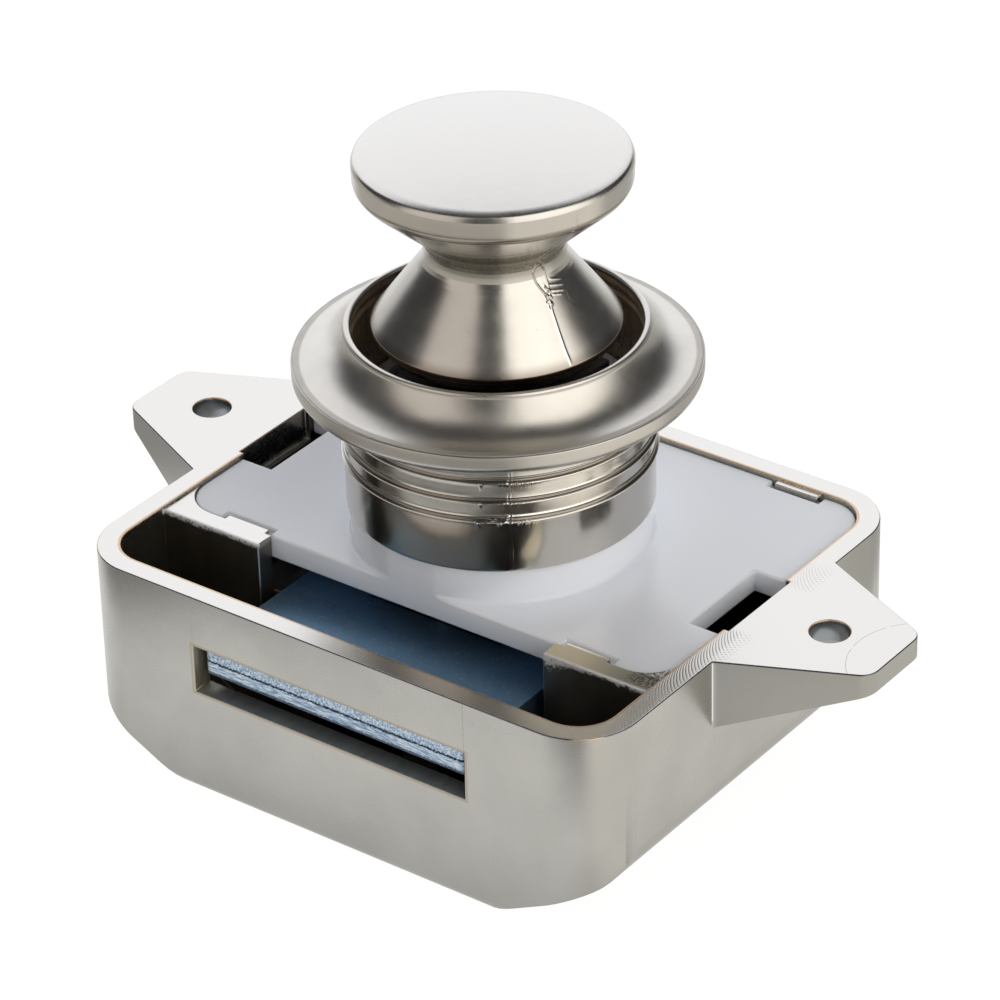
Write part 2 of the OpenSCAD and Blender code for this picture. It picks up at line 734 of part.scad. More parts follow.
module main_spring() {
    sides = 6;
    rings_per_turn = 16;
    wire_r = spring_wire / 2;
    coil_r = spring_d / 2 - wire_r;
    end_gap = 0.02;
    low = floor_z + wire_r + end_gap;
    high = spring_seat_z - knob_screw_head_h - washer_t - wire_r - end_gap;
    rings = spring_turns * rings_per_turn;
    points = [for (i = [0 : rings], k = [0 : sides - 1])
                 let (a = 360 * i / rings_per_turn,
                      b = 360 * k / sides,
                      r = coil_r + wire_r * cos(b),
                      z = low + (high - low) * i / rings + wire_r * sin(b))
                 [r * cos(a), r * sin(a), z]];
    walls = [for (i = [0 : rings - 1], k = [0 : sides - 1])
                let (p = i * sides + k, q = i * sides + (k + 1) % sides)
                each [[p, q, q + sides], [p, q + sides, p + sides]]];
    last = rings * sides;
    ends = [for (k = [1 : sides - 2]) each [[0, k + 1, k], [last, last + k, last + k + 1]]];
    echo(str("main_spring: least gap between turns ", (high - low) / spring_turns - spring_wire));
    color([0.5, 0.5, 0.52]) polyhedron(points, concat(walls, ends));
}

module bolt_plate() {
    half = bolt_w / 2;
    color([0.35, 0.45, 0.6]) difference() {
        intersection() {
            translate([0, 0, bolt_bottom]) linear_extrude(bolt_t)
                round_rect([-half, bolt_nose], [half, bolt_back], bolt_corner_r);
            prism_x(-half - over, half + over) {
                translate([bolt_nose + nose_low_r, bolt_bottom + nose_low_r])
                    circle(nose_low_r, $fn = small_fn);
                translate([bolt_nose + nose_top_r, bolt_top - nose_top_r])
                    circle(nose_top_r, $fn = small_fn);
                translate([bolt_nose, bolt_bottom + nose_low_r])
                    square([bolt_back - bolt_nose, bolt_t - nose_low_r - nose_top_r]);
                translate([bolt_nose + nose_low_r, bolt_bottom])
                    square([bolt_back - bolt_nose - nose_low_r, bolt_t]);
                translate([bolt_nose + nose_top_r, bolt_top - nose_top_r - bite])
                    square([nose_low_r, nose_top_r + bite]);
            }
        }
        // Window that the plunger and the follower pass through
        box([-window_half_w, window_front, bolt_bottom - over],
            [window_half_w, window_back, bolt_top + over]);
        rivet_places(bolt_bottom - over) rod(rivet_r, bolt_t + 2 * over);
    }
}

// Puts its children at the four rivets
module rivet_places(z) {
    both_sides()
        for (s = [-1, 1])
            translate([rivet_x, pin_y + s * rivet_pitch / 2, z]) children();
}

module drive_brackets() {
    foot_front = pin_y - foot_len / 2;
    color([0.55, 0.56, 0.58]) difference() {
        both_sides() {
            prism_x(ear_inner_x, ear_inner_x + bracket_t) {
                translate([pin_y, pin_z]) circle(r = bracket_ear_r, $fn = small_fn);
                translate([pin_y - bracket_ear_r, bolt_top]) square([2 * bracket_ear_r, pin_z - bolt_top]);
            }
            box([ear_inner_x, foot_front, bolt_top], [ear_inner_x + foot_w, foot_front + foot_len, foot_top]);
        }
        rivet_places(bolt_top - over) rod(rivet_r, bracket_t + 2 * over);
        translate([0, pin_y, pin_z]) rotate([0, 90, 0])
            cylinder(r = pin_r, h = case_w, center = true, $fn = small_fn);
    }
}

module bracket_rivets() {
    color([0.7, 0.7, 0.72]) rivet_places(0) {
        translate([0, 0, bolt_bottom]) rod(rivet_r, foot_top - bolt_bottom + bite / 2);
        translate([0, 0, foot_top]) rod(rivet_head_r, rivet_head_h);
    }
}

module drive_pins() {
    inner_x = plunger_half_w - groove_depth + free_gap;
    outer_x = ear_inner_x + bracket_t;
    color([0.65, 0.65, 0.67]) both_sides()
        translate([0, pin_y, pin_z]) rotate([0, 90, 0]) {
            translate([0, 0, inner_x]) rod(pin_r, outer_x - inner_x + bite / 2);
            translate([0, 0, outer_x]) rod(rivet_head_r, rivet_head_h);
        }
}

module cam_follower() {
    stub_len = leg_y - pivot_boss_front;
    tip_len = track_depth - free_gap - plunger_half_d - leg_y;
    color([0.6, 0.62, 0.66]) {
        translate([0, pivot_boss_front, pivot_z]) rotate([-90, 0, 0])
            rod(follower_r, stub_len);
        translate([0, leg_y, pivot_z]) rod(follower_r, tip_z - pivot_z);
        translate([0, leg_y, tip_z]) rotate([-90, 0, 0]) rod(follower_r, tip_len);
        for (z = [pivot_z, tip_z]) translate([0, leg_y, z]) sphere(r = follower_r, $fn = small_fn);
    }
}

casing();
cover_plate();
rosette();
knob();
plunger();
knob_screw();
spring_washer();
main_spring();
bolt_plate();
drive_brackets();
bracket_rivets();
drive_pins();
cam_follower();
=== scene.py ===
# %% [markdown]
# A push button cabinet lock, dressed for its portrait.
# The solid model comes in as a fixed frame. It says where every piece is and how it moves. This script gives
# the pieces their finish, and builds the ones that need finer forms than the solid model holds.

import json
import math

import bmesh
import bpy
import numpy as np
from mathutils import Matrix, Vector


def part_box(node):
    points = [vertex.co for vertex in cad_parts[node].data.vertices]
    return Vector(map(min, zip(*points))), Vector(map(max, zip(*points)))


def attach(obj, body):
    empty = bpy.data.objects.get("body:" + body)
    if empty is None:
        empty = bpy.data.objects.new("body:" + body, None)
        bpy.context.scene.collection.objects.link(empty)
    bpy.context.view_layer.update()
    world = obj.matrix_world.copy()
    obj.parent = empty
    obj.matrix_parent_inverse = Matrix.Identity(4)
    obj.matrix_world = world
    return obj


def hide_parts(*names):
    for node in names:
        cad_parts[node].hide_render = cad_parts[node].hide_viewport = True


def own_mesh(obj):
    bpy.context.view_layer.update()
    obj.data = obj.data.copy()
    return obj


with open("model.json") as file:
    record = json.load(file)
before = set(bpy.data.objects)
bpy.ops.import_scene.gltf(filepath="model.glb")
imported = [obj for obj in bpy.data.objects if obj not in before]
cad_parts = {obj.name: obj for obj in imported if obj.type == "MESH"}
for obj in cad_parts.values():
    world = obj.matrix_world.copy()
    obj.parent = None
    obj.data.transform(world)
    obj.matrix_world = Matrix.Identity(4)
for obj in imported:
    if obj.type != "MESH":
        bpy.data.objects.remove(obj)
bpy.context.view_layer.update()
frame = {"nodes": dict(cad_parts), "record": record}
nodes = frame["nodes"]
MM = 0.001

# %% [markdown]
# The camera stands where the photographer stood. Its angles, its distance and its lens were worked out from
# corners whose real places are known. Its frame is three directions: right, up and back.

# %% Camera
AZIMUTH, ELEVATION, ROLL = (math.radians(a) for a in (37.127, 31.065, -1.513))
CAMERA_DISTANCE = 0.4002
# The object's origin lies this far from the picture's centre in metres, to the right and up
OFF_CENTRE = (0.00018, -0.0016)
SENSOR = 36
FOCAL_LENGTH = 171.15

back = np.array([math.sin(AZIMUTH) * math.cos(ELEVATION), -math.cos(AZIMUTH) * math.cos(ELEVATION),
                 math.sin(ELEVATION)])
level = np.array([math.cos(AZIMUTH), math.sin(AZIMUTH), 0])
upright = np.cross(back, level)
right = math.cos(ROLL) * level + math.sin(ROLL) * upright
up = math.cos(ROLL) * upright - math.sin(ROLL) * level
place = CAMERA_DISTANCE * back - OFF_CENTRE[0] * right - OFF_CENTRE[1] * up

camera_data = bpy.data.cameras.new("camera")
camera_data.lens, camera_data.sensor_width = FOCAL_LENGTH, SENSOR
camera_data.clip_start = 0.01
camera = bpy.data.objects.new("camera", camera_data)
bpy.context.collection.objects.link(camera)
camera.matrix_world = Matrix([[*row, p] for row, p in zip(np.column_stack([right, up, back]), place)]
                             + [[0, 0, 0, 1]])
bpy.context.scene.camera = camera
print("camera at", np.round(place, 3))

# %% [markdown]
# A finish is a small network of nodes. Written as plain sums it reads like a recipe, so one small class
# wraps a node's output and lets Python's own operators add the Math nodes. A board makes every other kind
# of node.

# %% Node boards


class Wire:
    """A value that runs between nodes. Python's operators on it add Math nodes."""

    def __init__(self, board, socket):
        self.board, self.socket = board, socket

    def __add__(self, other): return self.board.maths("ADD", self, other)
    def __radd__(self, other): return self.board.maths("ADD", other, self)
    def __sub__(self, other): return self.board.maths("SUBTRACT", self, other)
    def __rsub__(self, other): return self.board.maths("SUBTRACT", other, self)
    def __mul__(self, other): return self.board.maths("MULTIPLY", self, other)
    def __rmul__(self, other): return self.board.maths("MULTIPLY", other, self)
    def __pow__(self, other): return self.board.maths("POWER", self, other)
    def __mod__(self, other): return self.board.maths("FLOORED_MODULO", self, other)
    def __abs__(self): return self.board.maths("ABSOLUTE", self)


class Board:
    """A node tree, with one method that adds any node to it, and short ones for the sums used most."""

    def __init__(self, tree):
        self.tree = tree

    def node(self, kind, settings=None, sockets=None, out=0):
        """Adds a node: its settings first, then the values or wires of its sockets. Gives one output."""
        made = self.tree.nodes.new(kind)
        for name, value in (settings or {}).items():
            setattr(made, name, value)
        for key, value in (sockets or {}).items():
            if isinstance(value, Wire):
                self.tree.links.new(value.socket, made.inputs[key])
            else:
                made.inputs[key].default_value = value
        return Wire(self, made.outputs[out])

    def maths(self, operation, *values):
        """One of the Math node's operations on wires or numbers."""
        return self.node("ShaderNodeMath", {"operation": operation}, dict(enumerate(values)))

    def larger(self, first, second):
        """The larger of two values."""
        return self.maths("MAXIMUM", first, second)

    def heading(self, across, ahead):
        """Angle in degrees, from the way ahead towards the way across."""
        return self.maths("ARCTAN2", across, ahead) * (180 / math.pi)

    def wave(self, value, pitch):
        """Goes up and down between 0 and 1 once in each pitch."""
        return self.maths("SINE", value * (2 * math.pi / pitch)) * 0.5 + 0.5

    def step(self, value, low, high):
        """Rises smoothly from 0 to 1 as value goes from low to high."""
        return self.node("ShaderNodeMapRange", {"interpolation_type": "SMOOTHSTEP"},
                         {0: value, 1: low, 2: high})

    def near(self, value, middle, inner, outer):
        """1 where value is within inner of the middle, falling to 0 at outer."""
        return self.step(abs(value - middle), outer, inner)

    def span(self, value, start, low, high, end):
        """Rises from 0 at start to 1 at low, and falls from 1 at high to 0 at end."""
        return self.step(value, start, low) * self.step(value, end, high)

    def mix(self, share, first, second):
        """A colour between two colours."""
        a, b = ((c if isinstance(c, Wire) else (*c, 1)) for c in (first, second))
        return self.node("ShaderNodeMix", {"data_type": "RGBA"}, {0: share, 6: a, 7: b}, 2)

    def coats(self, ground, *coats):
        """Lays coats over a ground colour, one after the other. Each coat is a mask and a colour."""
        for mask, colour in coats:
            ground = self.mix(mask, ground, colour)
        return ground


class Finish(Board):
    """A material on a Principled shader, with the piece's own coordinates in millimetres at hand."""

    def __init__(self, name):
        self.material = bpy.data.materials.new(name)
        self.material.use_nodes = True
        super().__init__(self.material.node_tree)
        self.shader = self.tree.nodes["Principled BSDF"]
        metres = self.node("ShaderNodeTexCoord", out="Object")
        self.place = self.node("ShaderNodeVectorMath", {"operation": "SCALE"}, {0: metres, 3: 1 / MM})
        self.x, self.y, self.z = (self.node("ShaderNodeSeparateXYZ", sockets={0: self.place}, out=i)
                                  for i in range(3))

    def noise(self, scale, detail=3, stretch=(1, 1, 1)):
        """Soft noise from 0 to 1, with scale spots to the millimetre, drawn out along the axes by stretch."""
        drawn = self.node("ShaderNodeVectorMath", {"operation": "DIVIDE"}, {0: self.place, 1: stretch})
        return self.node("ShaderNodeTexNoise", None, {"Vector": drawn, "Scale": scale, "Detail": detail})

    def set(self, **sockets):
        """Values or wires for the shader's own sockets. An underscore in a name stands for a space."""
        for name, value in sockets.items():
            socket = self.shader.inputs[name.replace("_", " ")]
            if isinstance(value, Wire):
                self.tree.links.new(value.socket, socket)
            else:
                many = hasattr(value, "__len__")
                socket.default_value = (*value, 1)[:len(socket.default_value)] if many else value

    def relief(self, height, depth):
        """Bumps the surface by height, whose 1 stands for depth in millimetres."""
        self.set(Normal=self.node("ShaderNodeBump", None, {"Height": height, "Distance": depth * MM,
                                                           "Strength": 1.0}))


def distance(x, y):
    """Length of the vector (x, y), of numbers, arrays or wires."""
    return (x * x + y * y) ** 0.5


def apart(turn, middle):
    """How far a turn lies from the middle one, between -180 and 180 degrees."""
    return (turn - middle + 180) % 360 - 180


def corners(node):
    """The low and the high corner of a node's box, in millimetres."""
    return [np.array(corner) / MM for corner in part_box(node)]


# %% [markdown]
# The photograph has a pure white ground without a shadow, as when the object stands on a light table and
# the rest is cut away. The metal still mirrors the real table: bright round the object, dark where the
# table's edge lies in front on the left, and lit again further out. So the floor glows in zones round the
# knob's axis.

# %% Floor
# Half the floor's side, in metres
FLOOR_R = 3.0
case_low, case_high = corners("casing")
floor_z = case_low[2] * MM
floor_mesh = bpy.data.meshes.new("floor")
floor_mesh.from_pydata([(x, y, floor_z) for x, y in ((-FLOOR_R, -FLOOR_R), (FLOOR_R, -FLOOR_R),
                                                     (FLOOR_R, FLOOR_R), (-FLOOR_R, FLOOR_R))],
                       [], [(0, 1, 2, 3)])
floor = bpy.data.objects.new("floor", floor_mesh)
bpy.context.collection.objects.link(floor)
print("floor at", round(case_low[2], 2), "mm")

# %% [markdown]
# The zones are told apart by their distance from the axis in millimetres and by their turn round it, in
# degrees from the camera's side and positive to its right. Only mirrors see them: the camera itself sees
# plain white.

# %% Floor zones
WHITE = (0.96, 0.96, 0.96)
FLOOR_PAINT = (0.1, 0.1, 0.1)
NEAR_R, NEAR_SOFT, NEAR_GLOW, NEAR_WARM = 59, 4, (0.93, 0.93, 0.92), (0.93, 0.92, 0.89)
EDGE_R, EDGE_SOFT, EDGE_GLOW = 86, 5, (0.13, 0.13, 0.125)
LEFT_GLOW, RIGHT_GLOW, BACK_GLOW = (0.6, 0.57, 0.51), (1.02, 0.98, 0.9), (0.52, 0.51, 0.48)
RIGHT_TURNS = (3, 16, 86, 98)
# The dim parts on both sides of the wall behind, and where the right one reaches in towards the casing
DIM_RIGHT, DIM_LEFT, DIM_LEFT_SHARE = (80, 95), (-92, -108), 0.85
DIM_IN_TURNS, DIM_IN_R = (84, 94, 120, 140), (44, 52)
# The white wall behind: its middle and half its width, and those of the white part of the table before it
WALL_TURN, WALL_HALF = 186.5, 36.5
WHITE_TURN, WHITE_HALF, WHITE_SOFT = 182.5, 33, 8
# Close to the casing the table lies in its shade
SHADE_R, SHADE = 12, 0.72
# The casing without its ears: half its width, and the middle and half of its depth
CASE_X = 26.95
MIDDLE_Y, CASE_Y = (case_low[1] + case_high[1]) / 2, (case_high[1] - case_low[1]) / 2


def compass(board, x, y):
    """Distance towards the camera, distance to its right, and the turn from the camera's side in degrees."""
    towards = x * math.sin(AZIMUTH) - y * math.cos(AZIMUTH)
    sideways = x * math.cos(AZIMUTH) + y * math.sin(AZIMUTH)
    return towards, sideways, board.heading(sideways, towards)


ground = Finish("floor_glow")
towards, sideways, turn = compass(ground, ground.x, ground.y)
away = distance(towards, sideways)
right_side = ground.span(turn, *RIGHT_TURNS)
white_side = ground.near(apart(turn, WHITE_TURN), 0, WHITE_HALF - WHITE_SOFT, WHITE_HALF + WHITE_SOFT)
dim_sides = ground.step(turn, *DIM_RIGHT) + ground.step(turn, *DIM_LEFT) * DIM_LEFT_SHARE
dim_near = ground.span(turn, *DIM_IN_TURNS) * ground.step(away, *DIM_IN_R)
past_edge = ground.step(away, EDGE_R - EDGE_SOFT, EDGE_R + EDGE_SOFT)
far = ground.coats(EDGE_GLOW, (past_edge, LEFT_GLOW), (dim_sides, BACK_GLOW), (right_side, RIGHT_GLOW),
                   (white_side, WHITE))
close = ground.coats(NEAR_GLOW, (right_side, NEAR_WARM), (dim_near, BACK_GLOW))
glow = ground.mix(ground.step(away, NEAR_R + NEAR_SOFT, NEAR_R - NEAR_SOFT), far, close)
beside = ground.larger(abs(ground.x) - CASE_X, abs(ground.y - MIDDLE_Y) - CASE_Y)
shade = 1 - (1 - SHADE) * ground.step(beside, SHADE_R, 0)
glow = ground.node("ShaderNodeVectorMath", {"operation": "SCALE"}, {0: glow, 3: shade})
seen = ground.node("ShaderNodeLightPath", out="Is Camera Ray")
ground.set(Base_Color=FLOOR_PAINT, Roughness=1.0, Specular_IOR_Level=0.0,
           Emission_Color=ground.mix(seen, glow, WHITE), Emission_Strength=1.0)
floor_mesh.materials.append(ground.material)
print("floor zones:", len(ground.tree.nodes), "nodes")

# %% [markdown]
# Polished metal shows the room more than itself, so the light is built as a room of soft boxes. Each is a
# patch of the sky, given by where it stands round the object (0 is behind the camera, positive to the
# camera's right) and how high it hangs. Between the boxes the room is dark, and that draws the dark bands
# on the metal.

# %% Light room
ROOM = (0.055, 0.055, 0.058)
# In degrees: left edge and its softness, right edge and its softness, how much wider it gets on each side
# with each degree of height, lowest, highest and their softness. Then the colour
SOFT_BOXES = {
    "white wall behind": (WALL_TURN - WALL_HALF, 8, WALL_TURN + WALL_HALF, 9, 0.17, -20, 54, 7,
                          (1.46, 1.48, 1.53)),
    "box at the front left": (-78, 6, -26, 6, 0, -20, 60, 7, (0.95, 0.88, 0.82)),
    "strong box at the front right": (10, 6, 83, 13, 0, -20, 67, 6, (1.98, 1.92, 1.8)),
}
WHAT_THE_CAMERA_SEES = (0.94, 0.94, 0.94)

world = bpy.data.worlds.new("light_room")
bpy.context.scene.world = world
world.use_nodes = True
sky = Board(world.node_tree)
look = sky.node("ShaderNodeTexCoord", out="Generated")
look_x, look_y, look_z = (sky.node("ShaderNodeSeparateXYZ", sockets={0: look}, out=i) for i in range(3))
turn = compass(sky, look_x, look_y)[2]
height = sky.maths("ARCSINE", look_z) * (180 / math.pi)
room = ROOM
for left, left_soft, right_edge, right_soft, slant, low, high, rim, colour in SOFT_BOXES.values():
    # Counted on from the box's middle, so that a box may reach over the turn of 180 degrees
    off = apart(turn, (left + right_edge) / 2)
    half = height * slant + (right_edge - left) / 2
    across = sky.step(off + half, -left_soft, left_soft) * sky.step(off - half, right_soft, -right_soft)
    room = sky.mix(across * sky.span(height, low - rim, low + rim, high - rim, high + rim), room, colour)
seen = sky.node("ShaderNodeLightPath", out="Is Camera Ray")
room = sky.mix(seen, room, WHAT_THE_CAMERA_SEES)
world.node_tree.links.new(room.socket, world.node_tree.nodes["Background"].inputs["Color"])
bpy.context.scene.view_settings.view_transform = "Standard"
print("light room:", ", ".join(SOFT_BOXES))

# %% [markdown]
# New pieces are surfaces on a grid of two parameters. One helper turns an array of rows and columns of
# points into a mesh: it joins neighbours into four-sided faces with whole-array sums, welds what coincides,
# such as the points of a pole, and turns all faces outwards.

# %% Surfaces from arrays
WELD = 0.002 * MM


def unit(v):
    """Each row of v divided by its own length."""
    return v / np.maximum(np.linalg.norm(v, axis=-1, keepdims=True), 1e-12)


def place_piece(name, mesh, body, slot, *stands_for):
    """Makes the object with smooth faces, and says which body it rides on and which nodes it replaces."""
    piece = bpy.data.objects.new(name, mesh)
    bpy.context.collection.objects.link(piece)
    mesh.polygons.foreach_set("use_smooth", np.ones(len(mesh.polygons), bool))
    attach(piece, body)
    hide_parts(*stands_for)
    return piece


def weigh_normals(piece):
    """Shades each vertex by its largest faces, so that flat faces stay flat next to small roundings."""
    piece.modifiers.new("shade", "WEIGHTED_NORMAL").keep_sharp = True
    return piece


def grid_mesh(name, points, close_rows=False):
    """Mesh of a grid of points in millimetres, rows by columns by 3, closed round along each row. Face (i, j)
    joins the points (i, j), (i, j + 1), (i + 1, j + 1) and (i + 1, j)."""
    rows, columns = points.shape[:2]
    i, j = np.meshgrid(np.arange(rows - (not close_rows)), np.arange(columns), indexing="ij")
    below, beside = (i + 1) % rows, (j + 1) % columns
    faces = np.stack([i * columns + j, i * columns + beside,
                      below * columns + beside, below * columns + j], -1)
    mesh = bpy.data.meshes.new(name)
    mesh.vertices.add(rows * columns)
    mesh.vertices.foreach_set("co", (points * MM).ravel())
    mesh.loops.add(faces.size)
    mesh.loops.foreach_set("vertex_index", faces.ravel())
    mesh.polygons.add(faces.size // 4)
    mesh.polygons.foreach_set("loop_start", np.arange(0, faces.size, 4))
    mesh.update(calc_edges=True)
    tidy_up(mesh)
    return mesh


def tidy_up(mesh, flat=None):
    """Welds points that coincide, joins faces that lie within flat degrees of one plane, and turns all of
    them outwards."""
    work = bmesh.new()
    work.from_mesh(mesh)
    bmesh.ops.remove_doubles(work, verts=work.verts, dist=WELD)
    if flat:
        bmesh.ops.dissolve_limit(work, angle_limit=math.radians(flat), verts=work.verts, edges=work.edges)
    bmesh.ops.recalc_face_normals(work, faces=work.faces)
    work.to_mesh(mesh)
    work.free()


def rounded(corners, steps):
    """Outline through corners (x, y, fillet radius). At each corner u and w are the unit vectors back and on,
    and half is half the angle between them. The fillet's centre lies radius / sin(half) along the bisector,
    and its arc joins the points radius / tan(half) along u and w."""
    corners = np.array(corners, float)
    at, radius = corners[:, :2], corners[:, 2:]
    u, w = unit(np.roll(at, 1, 0) - at), unit(np.roll(at, -1, 0) - at)
    half = np.arccos(np.clip((u * w).sum(1, keepdims=True), -1, 1)) / 2
    centre = at + unit(u + w) * radius / np.maximum(np.sin(half), 1e-6)
    tangent = radius / np.maximum(np.tan(half), 1e-6)
    start, end = at + u * tangent - centre, at + w * tangent - centre
    first = np.arctan2(start[:, 1:], start[:, :1])
    sweep = (np.arctan2(end[:, 1:], end[:, :1]) - first + 3 * np.pi) % (2 * np.pi) - np.pi
    angle = first + sweep * np.linspace(0, 1, steps)
    arc = centre[:, None] + radius[:, None] * np.stack([np.cos(angle), np.sin(angle)], -1)
    points = arc.reshape(-1, 2)
    fresh = np.linalg.norm(points - np.roll(points, 1, 0), axis=1) > 1e-4
    fresh[0] = True
    return points[fresh]


def refine(outline, longest):
    """The same outline with extra points, so that no stretch is longer than longest. It's read at its own
    lengths and at even ones in one go."""
    run = np.r_[0, np.cumsum(np.linalg.norm(np.diff(outline, axis=0), axis=1))]
    even = np.linspace(0, run[-1], int(run[-1] / longest) + 1)
    near = np.abs(even[:, None] - run).min(1) < longest / 3
    stops = np.sort(np.r_[run, even[~near]])
    return np.stack([np.interp(stops, run, outline[:, k]) for k in (0, 1)], -1)


def turned(outline, angles, shape):
    """Surface of revolution: the point at angle a on the outline point (r, z) is (r cos a, r sin a, z).
    Before that, shape moves the grid of radii and heights."""
    angle, radius = np.meshgrid(angles, outline[:, 0])
    radius, tall = shape(angle, radius, np.broadcast_to(outline[:, 1:], radius.shape))
    return np.stack([radius * np.cos(angle), radius * np.sin(angle), tall], -1)


def dense_angles(middle, half, fine, coarse):
    """Angles once round, in radians: steps of fine degrees within half of the middle and coarse elsewhere."""
    close = np.arange(-half, half, fine)
    wide = np.arange(half, 360 - half, coarse)
    return np.radians(middle + np.r_[close, wide])


def bump(x, middle, width):
    """Bell curve: 1 at the middle, falling to 0.37 at width."""
    return np.exp(-((x - middle) / width) ** 2)


def grain(*where, seed):
    """Rough noise between -1 and 1 without random draws: sines of mixed pitches and phases, multiplied."""
    total = sum(np.sin((k + 1.7) * 1.31 * w + 2.4 * seed + k) for k, w in enumerate(where))
    fine = sum(np.sin((k + 2.3) * 3.17 * w + 5.1 * seed - 1.3 * k) for k, w in enumerate(where))
    return np.sin(2.7 * total + 1.9 * fine + seed)


# %% [markdown]
# Marks that a mould or a file left are strokes on the unrolled surface: paths of (turn in degrees, height).
# The distance to a stroke's straight pieces gives a bell-shaped ridge along it.

# %% Strokes


def stroke(angle, tall, path, at_r, high, wide):
    """Ridge along a path. Turns become lengths at the radius at_r. A piece from a with the step s is nearest
    to the point p at the share (p - a).s / s.s, kept from 0 to 1. The ridge is the height high times
    exp(-(gap / wide)^2), where gap is the distance to the nearest piece."""
    path = np.array(path, float) * [math.radians(at_r), 1]
    spot = np.stack([np.degrees(angle) * math.radians(at_r), tall], -1)
    ridge = np.zeros(angle.shape)
    near = ((spot > path.min(0) - 4 * wide) & (spot < path.max(0) + 4 * wide)).all(-1)
    p, a, step = spot[near][:, None], path[:-1], np.diff(path, axis=0)
    share = np.clip(((p - a) * step).sum(-1) / (step ** 2).sum(-1), 0, 1)
    gap = np.linalg.norm(p - a - share[..., None] * step, axis=-1).min(-1)
    ridge[near] = high * np.exp(-(gap / wide) ** 2)
    return ridge


# %% [markdown]
# The rosette is a die casting. Its mould opened sideways and left a fine seam down the sleeve, with thin
# flash where the seam crosses the three grip ribs. It is a turned outline whose radius is moved near the
# seam.

# %% Rosette
rosette_low, rosette_high = corners("rosette")
# The sleeve's radius and bore, and the thickness of the board that it fits
SLEEVE_R, BORE_R, BOARD_T = 13.0, 12.2, 14.4
SLEEVE_LOW, LIP_TOP = rosette_low[2], rosette_high[2] + 0.15
FLANGE_R = rosette_high[0]
MOUTH_R, LIP_W = 12.1, 0.62
CREASE_Z = BOARD_T + 1.7
# Grip ribs: heights of their lower edges, how far they stand out, and how tall they are
RIB_Z, RIB_OUT, RIB_H = (7.66, 9.45, 11.3), 0.28, 0.46
# The seam's turn round the axis, in degrees
SEAM = -49.7


def scotia(steps=26):
    """The hollow of the flange's top: an arc that is level at the crease and ends under the lip."""
    start = np.array([FLANGE_R - 0.12, CREASE_Z])
    end = np.array([MOUTH_R + LIP_W - 0.02, LIP_TOP - 0.27])
    run, rise = start[0] - end[0], end[1] - start[1]
    radius = (run ** 2 + rise ** 2) / (2 * rise)
    angle = np.radians(np.linspace(270, 270 - math.degrees(math.acos((radius - rise) / radius)), steps))
    centre = start + [0, radius]
    return centre + radius * np.stack([np.cos(angle), np.sin(angle)], -1)


def grip(z):
    """One grip rib from below: a sharp lip, a hollow ramp back to the sleeve, and a fine bead on top."""
    out = SLEEVE_R + RIB_OUT
    return [(SLEEVE_R - 0.01, z - 0.1, 0.02), (out, z - 0.04, 0.02), (out - 0.03, z + 0.05, 0.02),
            (SLEEVE_R + 0.05, z + 0.2, 0.12), (SLEEVE_R + 0.03, z + RIB_H - 0.06, 0.04),
            (SLEEVE_R + 0.1, z + RIB_H, 0.03), (SLEEVE_R, z + RIB_H + 0.1, 0.04)]


lower = [(BORE_R, SLEEVE_LOW + 1, 0), (BORE_R, SLEEVE_LOW, 0.1), (SLEEVE_R, SLEEVE_LOW, 0.1)]
for z in RIB_Z:
    lower += grip(z)
lower += [(SLEEVE_R, BOARD_T, 0.2), (FLANGE_R, BOARD_T, 0.6), (FLANGE_R, CREASE_Z - 0.1, 0.05),
          (FLANGE_R - 0.03, CREASE_Z - 0.08, 0.02), (FLANGE_R - 0.05, CREASE_Z, 0.04)]
lip_r = LIP_W / 2
lip_turn = np.radians(np.linspace(12, 185, 14))
lip = [MOUTH_R + lip_r, LIP_TOP - lip_r] + lip_r * np.stack([np.cos(lip_turn), np.sin(lip_turn)], -1)
inner = [(MOUTH_R, 18.2), (MOUTH_R + 0.16, 18.1), (MOUTH_R + 0.16, 17.75), (MOUTH_R, 17.65), (MOUTH_R, 17.2),
         (MOUTH_R + 0.1, 17.0), (BORE_R, BOARD_T), (BORE_R, SLEEVE_LOW + 0.2)]
outline = refine(np.vstack([rounded(lower, steps=5), scotia(), lip, inner]), 0.4)
# Left of the seam each rib has a leaf of flash, right of it the lip is crumbled
LEAVES = [[(-62, 7.62), (-60.2, 7.36), (-55.5, 7.33), (-51.5, 7.8)],
          [(-61.8, 7.66), (-57, 7.86), (-51, 8.1)],
          [(-60.6, 9.36), (-59.4, 9.5), (-51, 9.55)],
          [(-60.4, 11.2), (-59.2, 11.36), (-51, 11.42)]]
LEAF_H, LEAF_W, CRUMB_H = 0.1, 0.07, 0.06


def seam_shape(angle, radius, tall):
    """Raises a fine ridge along the seam, thin leaves left of it and crumbs along the ribs right of it."""
    off = apart(np.degrees(angle), SEAM)
    outside = (radius > SLEEVE_R - 0.05) & (tall < BOARD_T - 0.25) & (tall > SLEEVE_LOW + 0.02)
    wave = 0.25 * np.sin(tall * 1.7) + 0.12 * grain(tall * 2.0, seed=4)
    push = 0.014 * bump(off, wave, 0.24) - 0.012 * bump(off, wave - 0.5, 0.3)
    lips = sum(bump(tall, z, 0.14) for z in RIB_Z)
    crumbs = np.maximum(grain(off * 3.1, tall * 5, seed=3), 0) * lips * bump(off, 3, 5.5)
    for path in LEAVES:
        push = push + stroke(angle, tall, path, SLEEVE_R, LEAF_H, LEAF_W)
    return radius + outside * (push + CRUMB_H * crumbs), tall - outside * crumbs * CRUMB_H


